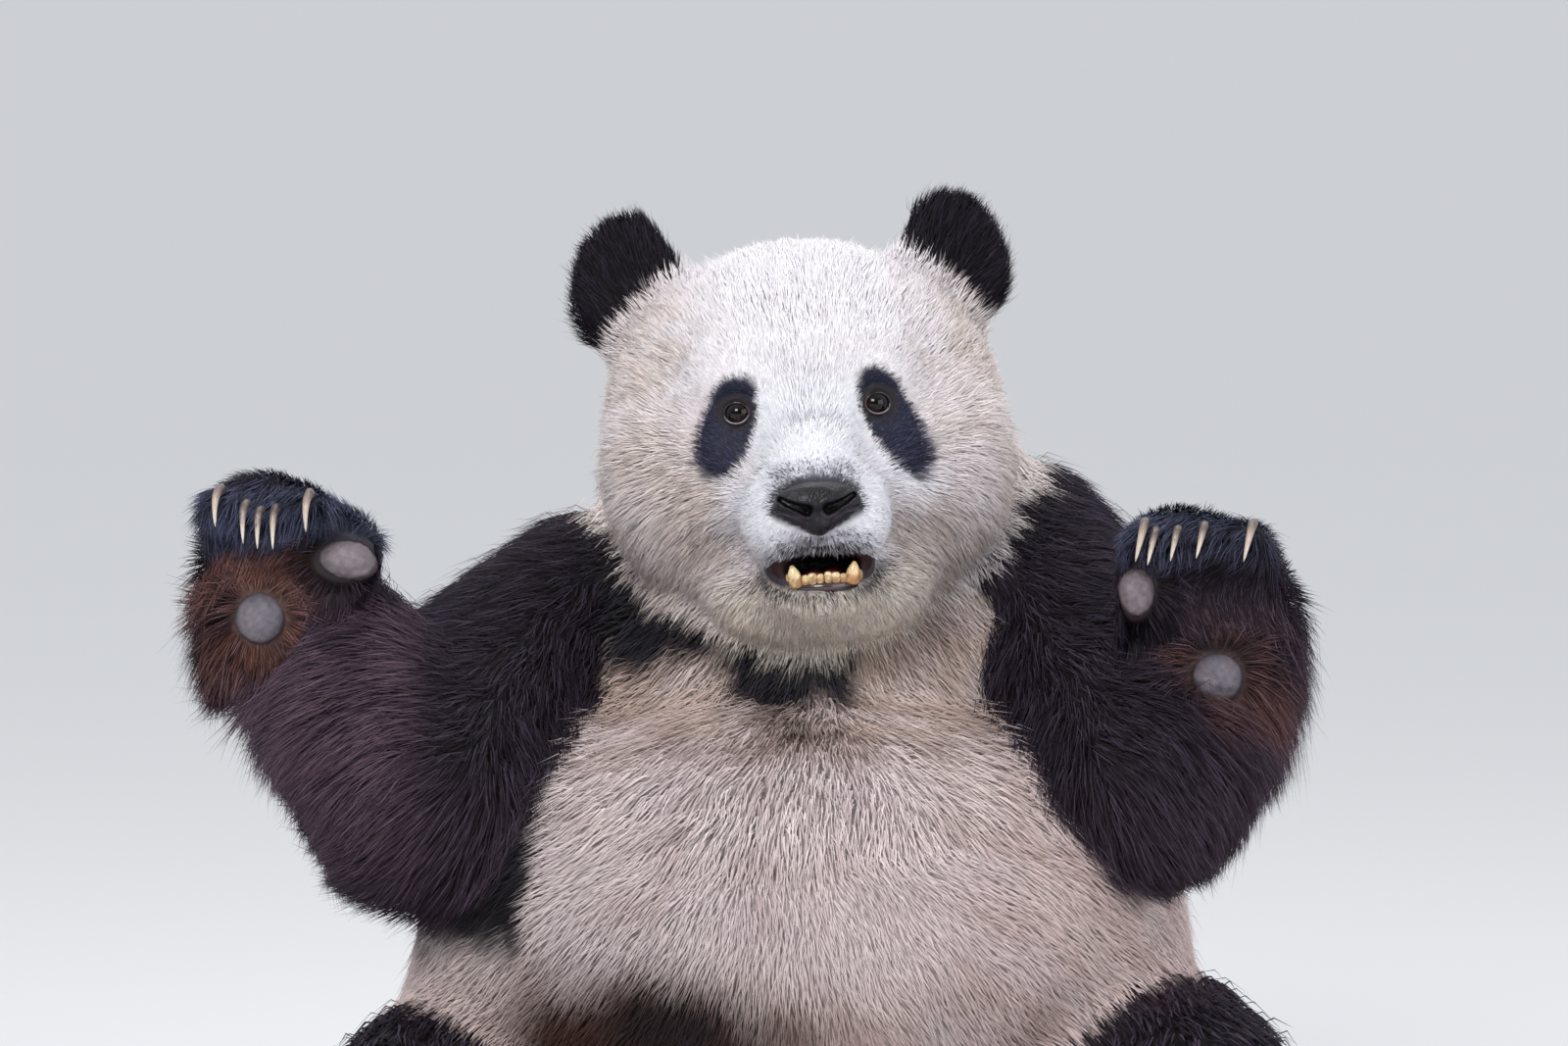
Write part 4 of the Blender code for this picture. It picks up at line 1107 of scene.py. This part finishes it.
def build_eye_piece(eye):
    """The eyeball: a dark streaked iris that stands out a little, round its pupil, in the white."""
    gaze = unit(GAZE_SHARE * eye.out + (1.0 - GAZE_SHARE) * np.array((0.0, -1.0, 0.06)))
    across = unit(np.cross(eye.up, gaze))
    bm = bmesh.new()
    bmesh.ops.create_uvsphere(bm, u_segments=72, v_segments=48, radius=1.0)
    ball, faces = arrays_of(bm)
    angle = np.arccos(np.clip(ball[:, 2], -1.0, 1.0))
    turn = np.arctan2(ball[:, 1], ball[:, 0])
    swell = 1.0 + 0.045 * step(IRIS_ANGLE * 1.05, 0.0, angle)
    local = ball * ((eye.radius - 0.0002) * swell)[:, None]
    heads = eye.centre + local[:, :1] * across + local[:, 1:2] * np.cross(gaze, across) + local[:, 2:] * gaze
    streaks = 0.5 + 0.25 * np.sin(turn * 23.0) + 0.25 * np.sin(turn * 41.0 + 1.3)
    # The white is pale only below; over its top it is painted dark as shade under the upper lid.
    white = layered(tone(40, 28, 32), (tone(196, 180, 190), step(-0.2, -0.9, np.sin(turn))))
    colours = layered(tone(13, 7, 8), (tone(30, 17, 17), streaks * 0.5),
                      (tone(8, 5, 8), step(0.80 * IRIS_ANGLE, IRIS_ANGLE, angle)),
                      (tone(2, 2, 3), step(PUPIL_ANGLE * 1.10, PUPIL_ANGLE * 0.92, angle)),
                      (white, step(IRIS_ANGLE * 0.98, IRIS_ANGLE * 1.07, angle)))
    new_piece(f"eyeball_{eye.side}", from_head(heads), faces, colours, "eye", "eye", f"eye_{eye.side}")


def build_lid_rim(eye):
    """The moist edge of the lids: dark above, pale along the lower lid, reddish in the inner corner."""
    turn = 2.0 * math.pi * np.arange(64) / 64
    x, z = LID_OPENING[0] * np.cos(turn), LID_OPENING[1] * np.sin(turn)
    height = np.sqrt((eye.radius + 0.0007) ** 2 - x ** 2 - z ** 2)
    path = eye.centre + x[:, None] * eye.across + z[:, None] * eye.up + height[:, None] * eye.out
    lower = step(0.15, -0.75, np.sin(turn))
    points, faces = tube_arrays(path, 0.00085 + 0.0001 * lower, 10, closed=True)
    inward = step(0.70, 0.98, -eye.sign * np.cos(turn))
    lower, inward, flat = (np.repeat(values, 10) for values in (lower, inward, np.hypot(x, z)))
    local = eye_places(points, eye)
    outer = step(0.0, 0.0009, np.hypot(local[:, 0], local[:, 1]) - flat)
    colours = layered(tone(14, 11, 14), (RIM_PINK, lower ** 4.0 * 0.50), (tone(84, 38, 40), inward * 0.6),
                      (tone(28, 20, 24), outer))
    new_piece(f"lid_rim_{eye.side}", from_head(points), faces, colours, "lid_rim", "eye")


# ---------------------------------------------------------------- nose
def build_nose_piece():
    """The nose's bare skin, with its nostrils and the groove below them."""
    points, triangles = smooth_copy("nose", 0.0010, 10)
    heads = in_head(points)
    across, rise = heads[:, 0], heads[:, 2] - NOSE_TIP[2]
    width = np.abs(across)
    front = step(-0.192, -0.202, heads[:, 1])
    sink, shade = np.zeros(len(heads)), np.zeros(len(heads))
    for sign in (-1.0, 1.0):
        place = across * sign
        share = capped((place - 0.0085) / 0.0185)
        off = np.hypot(place - (0.0085 + 0.0185 * share), rise - (-0.0030 + 0.0085 * share ** 1.4))
        half = 0.0046 - 0.0022 * share
        hole = step(1.15, 0.55, off / half)
        sink += 0.0085 * hole * (1.0 - 0.35 * share)
        sink -= 0.0009 * bell(off - half * 1.55, 0.0013)
        shade = np.maximum(shade, hole)
    groove = bell(across, 0.0011) * step(0.006, -0.004, rise)
    heads[:, 1] += (sink + 0.0014 * groove) * front
    heads[:, 2] += 0.45 * np.maximum(-rise, 0.0) * step(0.008, 0.026, width)
    low_rim = step(-0.0055, -0.0095, rise) * step(0.008, 0.014, width)
    # Painted shade: the nostrils and the groove below them are near black.
    colours = layered(tone(13, 11, 17),
                      (tone(74, 68, 84), capped(0.05 + 0.12 * FLECKS.at(heads) + 0.35 * low_rim, 0.6)),
                      (tone(6, 5, 7), capped(shade * 1.1 + 0.5 * groove) * front))
    new_piece("nose_pad", from_head(heads), triangles, colours, "nose_skin", "nose_skin", "nose")


# ---------------------------------------------------------------- teeth and tongue
TEETH_BACK = 0.0075              # how far the rows stand behind the lips' outline
SHARP = np.array((1.0, 1.03, 1.04, 1.0, 0.93, 0.82, 0.66, 0.44, 0.20))
BLUNT = np.array((0.98, 1.04, 1.10, 1.14, 1.16, 1.16, 1.12, 1.02, 0.70))
STAINED = 7                      # the canine at the panda's left in the lower row


def build_teeth(name, up):
    """A row of six incisors between two canines, with cheek teeth behind, in their gum."""
    lower_row = up > 0.0
    heads = in_head(corners_of(name))
    gum = heads[:, 2].min() if lower_row else heads[:, 2].max()
    height = gum + (0.0042 if lower_row else 0.0) * up
    front = heads[:, 1].min() + 0.0050 + (TEETH_BACK if lower_row else 2.2 * TEETH_BACK)
    base = np.array(((heads[:, 0].min() + heads[:, 0].max()) / 2.0, front, height))
    row = []

    def add(place, rise, width, depth, profile):
        """One tooth from its place on the gum, flattened from front to back."""
        root = base + np.array(place)
        tip = root + np.array(rise)
        path = bent(root, (root + tip) / 2.0 + np.array((0.0, -0.0010, 0.0)), tip, 9)
        points, faces = tube_arrays(path, width * profile, 14)
        centre = np.concatenate((np.repeat(path, 14, axis=0), path[:1], path[-1:]))
        away = points - centre
        away[:, 1] *= depth
        row.append((centre + away, faces))

    for number in range(6):
        angle = math.radians(-31.0 + 12.4 * number)
        tall = 0.0080 - 0.0006 * abs(number - 2.5) + 0.0008 * math.sin(number * 2.3)
        add((0.0272 * math.sin(angle), 0.018 * (1.0 - math.cos(angle)), 0.0), (0.0, 0.0, tall * up),
            0.0028 + 0.0004 * math.sin(number * 1.9), 0.66, BLUNT)
    for sign in (-1.0, 1.0):
        add((0.0205 * sign, 0.0060, -0.001 * up), (0.0030 * sign, -0.0030, (0.0155 if lower_row else 0.0120) * up),
            0.0054, 0.90, SHARP)
    for sign in (-1.0, 1.0):
        for number in range(3):
            add(((0.0250 + 0.0018 * number) * sign, 0.0150 + 0.0100 * number, 0.0), (0.0, 0.0, 0.0075 * up),
                0.0038, 1.25, BLUNT)
    arch = [base + np.array((0.0262 * math.sin(angle), 0.0015 + 0.030 * (1.0 - math.cos(angle)), -0.0030 * up))
            for angle in (math.radians(75.0 * share) for share in np.linspace(-1.0, 1.0, 33))]
    arch = [arch[0] + np.array((-0.003, 0.012, 0.0)), *arch, arch[-1] + np.array((0.003, 0.012, 0.0))]
    row.append(tube_arrays(arch, np.full(len(arch), 0.0046), 12))
    points, faces, sources = merged(row)
    cloud = CLOUDS.at(points * 2.0)
    stain = step(0.0100, 0.0010, (points[:, 2] - height) * up) * 0.9
    stain = stain + 0.45 * FLECKS.at(points * 2.0) + 0.3 * FLECKS.at(points * 5.0)
    stained = (sources == STAINED) & lower_row
    colours = layered(tone(226, 206, 158), (tone(140, 92, 44), capped(stain, 0.90)),
                      (tone(196, 110, 44), 0.20 * stained))
    gums = sources == len(row) - 1
    colours[gums] = layered(tone(62, 42, 46), (tone(36, 28, 34), capped(0.35 + 0.4 * cloud[gums])))
    new_piece(f"{name}_row", from_head(points), faces, colours, "tooth", "tooth", name)


def build_tongue_piece():
    """The tongue, with a shallow furrow along its middle, painted darker toward the back as shade in the mouth."""
    points, triangles = smooth_copy("tongue", 0.0018, 8)
    heads = in_head(points)
    middle_x = (heads[:, 0].min() + heads[:, 0].max()) / 2.0
    heads[:, 1] += 0.004
    heads[:, 2] -= 0.0022 * bell(heads[:, 0] - middle_x, 0.004)
    # Painted shade: the tongue darkens toward the back of the mouth.
    colours = layered(tone(150, 78, 76), (tone(96, 40, 42), 1.0 - step(-0.16, -0.185, heads[:, 1])))
    new_piece("tongue_flesh", from_head(heads), triangles, colours, "tongue", "tongue", "tongue")


# ---------------------------------------------------------------- claws and pads
def claw_bend(name):
    """A place inside the toe, then start, bend and tip of a claw's middle line."""
    points = corners_of(name)
    low, high = points.min(0), points.max(0)
    if "hind" in name:
        start = points[points[:, 2] < low[2] + 0.003].mean(0)
        top = points[points[:, 2] > high[2] - 0.003].mean(0)
        tip = points[points[:, 1] < low[1] + 0.003].mean(0)
        along = unit(top - start)
        return start - along * 0.014, start - along * 0.003, top + along * 0.004, tip
    start = points[points[:, 2] > high[2] - 0.003].mean(0)
    tip = points[points[:, 2] < low[2] + 0.002].mean(0)
    off = np.abs(points[:, 2] - (start[2] + tip[2]) / 2.0)
    halfway = points[off < off.min() + 0.003].mean(0)
    bend = 2.0 * halfway - (start + tip) / 2.0 + np.array((-0.0045, -0.001, 0.0))
    if name[-1] in "234":
        tip = tip + np.array((0.0, -0.0045, 0.0065 if "left" in name else 0.0005))
        bend, start = bend + np.array((0.0, 0.0, 0.004)), start + np.array((0.0, 0.003, 0.006))
    return start + np.array((0.0, 0.016, 0.0)), start + np.array((0.0, 0.004, 0.001)), bend, tip


def build_claw_piece(name):
    """A curved horn along the CAD claw, run back into the toe."""
    inside, start, bend, tip = claw_bend(name)
    path = np.concatenate(([inside], [(inside + start) / 2.0], bent(start, bend, tip, 13)))
    taper = np.concatenate(((0.85, 0.95), np.linspace(1.0, 0.0, 13) ** 0.62 * 0.94 + 0.06))
    points, faces = tube_arrays(path, (0.0047 if "fore" in name else 0.0045) * taper, 14, 0.80)
    toward = np.concatenate((np.repeat(np.arange(len(path)), 14), (0, len(path) - 1))) / (len(path) - 1.0)
    fleck = FLECKS.at(points * 3.0 + len(name))
    roots = 0.12 if name[-1] in "234" else 0.0
    colours = layered(tone(74, 62, 60), (tone(184, 166, 152), step(0.24 + roots, 0.66 + roots, toward)),
                      (tone(222, 215, 200), step(0.6, 1.0, toward) * 0.8),
                      (tone(120, 100, 84), capped(0.25 + 0.5 * fleck, 0.5) * step(0.75, 0.2, toward)))
    new_piece(f"horn_{name}", points, faces, colours, "claw_horn", "claw_horn", name)


def pad_dome(name):
    """The outline of a palm's pad: a low dome that lies on the skin, the right thumb's one tilted."""
    pad = PADS[name]
    bm = bmesh.new()
    bmesh.ops.create_icosphere(bm, subdivisions=5, radius=1.0)
    ball, faces = arrays_of(bm)
    away = SKIN_POINTS - pad.place
    near = (pad_reach(away, pad) < 1.0) & (SKIN_NORMALS[:, 1] < -0.2) & (np.abs(away[:, 1]) < 0.030)
    out = unit(SKIN_NORMALS[near].mean(0) + np.array((0.0, -0.5, 0.0)))
    up = unit(np.array((0.0, 0.0, 1.0)) - out * out[2])
    across = np.cross(out, up)
    tilt = math.radians(14.0 if name == "pad_thumb_right" else 0.0)
    across, up = across * math.cos(tilt) + up * math.sin(tilt), up * math.cos(tilt) - across * math.sin(tilt)
    centre = np.array((pad.place[0], SKIN_POINTS[near][:, 1].mean(), pad.place[2]))
    shape = ball * np.array((pad.width, pad.height, 0.0100))
    return centre + out * 0.0005 + shape[:, :1] * across + shape[:, 1:2] * up + shape[:, 2:] * out, faces


def build_pad_piece(name):
    """A bare pad: domed, cobbled and creased, with painted shade round its outline."""
    points, triangles = pad_dome(name) if name in PADS else smooth_copy(name, 0.0013, 6)
    cobbles = Waves(SEED + 20 + len(name), 0.0060, 2, 14).at(points)
    folds = Waves(SEED + 30 + len(name), 0.0160, 2, 7).at(points)
    centre = points.mean(0)
    points = points + vertex_normals(points, triangles) * (0.00016 * cobbles + 0.00060 * folds)[:, None]
    reach = np.abs((points - centre) / (points - centre).max(0))
    reach = np.hypot(reach[:, 0], reach[:, 2])
    # Painted shade: darker toward the outline, with a dark rim strongest along the lower edge.
    rim = step(0.86, 1.0, reach - 0.10 * (points[:, 2] - centre[2]) / 0.018)
    colours = layered(tone(98, 94, 104) if "heel" in name else tone(116, 106, 112),
                      (tone(130, 120, 126), capped(0.20 + 0.35 * folds, 0.8)),
                      (tone(66, 58, 64), capped(0.15 - 0.30 * cobbles, 0.5)),
                      (tone(60, 52, 58), 0.45 * step(0.45, 1.0, reach)), (tone(44, 32, 34), rim * 0.7))
    new_piece(f"{name}_skin", points, triangles, colours, "pad_skin", "pad_skin", name)


# ---------------------------------------------------------------- building
HEADWARD = ("head", "jaw")
FACE_BACK = -0.005               # behind this the head's coat is the crown's piece

new_piece("skin", SKIN_POINTS, SKIN_TRIANGLES, skin_colours(), "skin", "white_fur", *FLESH)
for eye in EYES:
    build_eye_piece(eye)
    build_lid_rim(eye)
build_nose_piece()
build_teeth("teeth_lower", 1.0)
build_teeth("teeth_upper", -1.0)
build_tongue_piece()
for side, _ in SIDES:
    for claw in range(1, 6):
        build_claw_piece(f"claw_fore_{side}_{claw}")
        build_claw_piece(f"claw_hind_{side}_{claw}")
    for pad in ("pad_heel", "pad_thumb", "pad_sole"):
        build_pad_piece(f"{pad}_{side}")

build_coat("coat_face_right", HEADWARD, "fur_white", lambda p: (p[:, 0] < 0.0) & (p[:, 1] < FACE_BACK))
build_coat("coat_face_left", HEADWARD, "fur_white", lambda p: (p[:, 0] >= 0.0) & (p[:, 1] < FACE_BACK))
build_coat("coat_crown", HEADWARD, "fur_white", lambda p: p[:, 1] >= FACE_BACK)
build_coat("coat_shoulders", ("neck", "chest"), "fur_white")
build_coat("coat_belly", ("belly",), "fur_white")
build_coat("coat_back", ("rump", "tail"), "fur_white")
for side, _ in SIDES:
    for piece, regions in (("ear", ("ear",)), ("arm", ("upper_arm", "forearm")), ("forepaw", ("forepaw",)),
                           ("leg", ("thigh", "shank", "hindfoot"))):
        build_coat(f"coat_{piece}_{side}", [f"{region}_{side}" for region in regions], "fur_black")

# ---------------------------------------------------------------- floor, light and camera
CAMERA_DISTANCE = 6.0
CAMERA_DOWN = math.radians(4.0)
CAMERA_TARGET = Vector((-0.021, 0.0, 0.541)) + Vector(TRUNK_SHIFT)
CAMERA_LENS = 180.0
FLOOR_SIZE = 1200.0
HORIZON = 0.82                   # the sky's strength low down behind the panda
ZENITH = 0.40                    # how much more of it there is overhead
SKY_TILT = 0.4                   # how much height counts, beside depth, in where the sky grows pale
# Each light's name, place, height that it looks at, size, power and colour.
LIGHTS = (("key", (-1.2, -3.1, 2.4), 0.50, (1.5, 1.2), 90.0, (1.0, 0.985, 0.98)),
          ("fill", (2.8, -2.6, 1.4), 0.40, (3.0, 2.2), 54.0, (0.98, 0.98, 1.0)),
          ("top", (0.2, 0.6, 3.0), 0.40, (2.0, 1.6), 20.0, (0.97, 0.98, 1.0)))


def build_floor():
    bm = bmesh.new()
    bmesh.ops.create_grid(bm, x_segments=1, y_segments=1, size=FLOOR_SIZE / 2.0)
    mesh = bpy.data.meshes.new("floor")
    bm.to_mesh(mesh)
    bm.free()
    made = bpy.data.materials.new("studio_floor")
    made.use_nodes = True
    body = made.node_tree.nodes["Principled BSDF"]
    body.inputs["Base Color"].default_value = (0.70, 0.70, 0.70, 1.0)
    body.inputs["Roughness"].default_value = 0.85
    mesh.materials.append(made)
    shown(bpy.data.objects.new("floor", mesh))


def build_sky():
    """A pale sky: even round the back, more overhead, less low down in front."""
    world = bpy.data.worlds.new("studio")
    bpy.context.scene.world = world
    world.use_nodes = True
    nodes, link = world.node_tree.nodes, world.node_tree.links.new
    background = nodes["Background"]
    background.inputs["Color"].default_value = (0.93, 0.955, 1.0, 1.0)
    place, parts, ramp = (nodes.new(f"ShaderNode{kind}") for kind in ("TexCoord", "SeparateXYZ", "MapRange"))
    overhead, total = nodes.new("ShaderNodeMath"), nodes.new("ShaderNodeMath")
    overhead.operation = total.operation = "MULTIPLY_ADD"
    overhead.inputs[1].default_value = SKY_TILT
    total.inputs[1].default_value = ZENITH * HORIZON
    for key, value in (("From Min", -0.6), ("From Max", 0.15), ("To Min", 0.15 * HORIZON), ("To Max", HORIZON)):
        ramp.inputs[key].default_value = value
    link(place.outputs["Generated"], parts.inputs["Vector"])
    link(parts.outputs["Z"], overhead.inputs[0])
    link(parts.outputs["Y"], overhead.inputs[2])
    link(overhead.outputs["Value"], ramp.inputs["Value"])
    link(parts.outputs["Z"], total.inputs[0])
    link(ramp.outputs["Result"], total.inputs[2])
    link(total.outputs["Value"], background.inputs["Strength"])


def build_lights():
    for name, place, aim, size, power, colour in LIGHTS:
        light = bpy.data.lights.new(name, "AREA")
        light.shape = "RECTANGLE"
        light.size, light.size_y = size
        light.energy, light.color = power, colour
        lamp = shown(bpy.data.objects.new(name, light))
        lamp.location = place
        lamp.rotation_euler = (Vector((0.0, 0.0, aim)) - Vector(place)).to_track_quat("-Z", "Y").to_euler()


def build_camera():
    camera = bpy.data.cameras.new("camera")
    camera.lens, camera.sensor_width = CAMERA_LENS, 36.0
    holder = shown(bpy.data.objects.new("camera", camera))
    holder.location = CAMERA_TARGET - CAMERA_DISTANCE * Vector((0.0, math.cos(CAMERA_DOWN), -math.sin(CAMERA_DOWN)))
    holder.rotation_euler = (math.radians(90.0) - CAMERA_DOWN, 0.0, 0.0)
    bpy.context.scene.camera = holder


build_floor()
build_sky()
build_lights()
build_camera()
bpy.context.scene.view_settings.view_transform = "Standard"
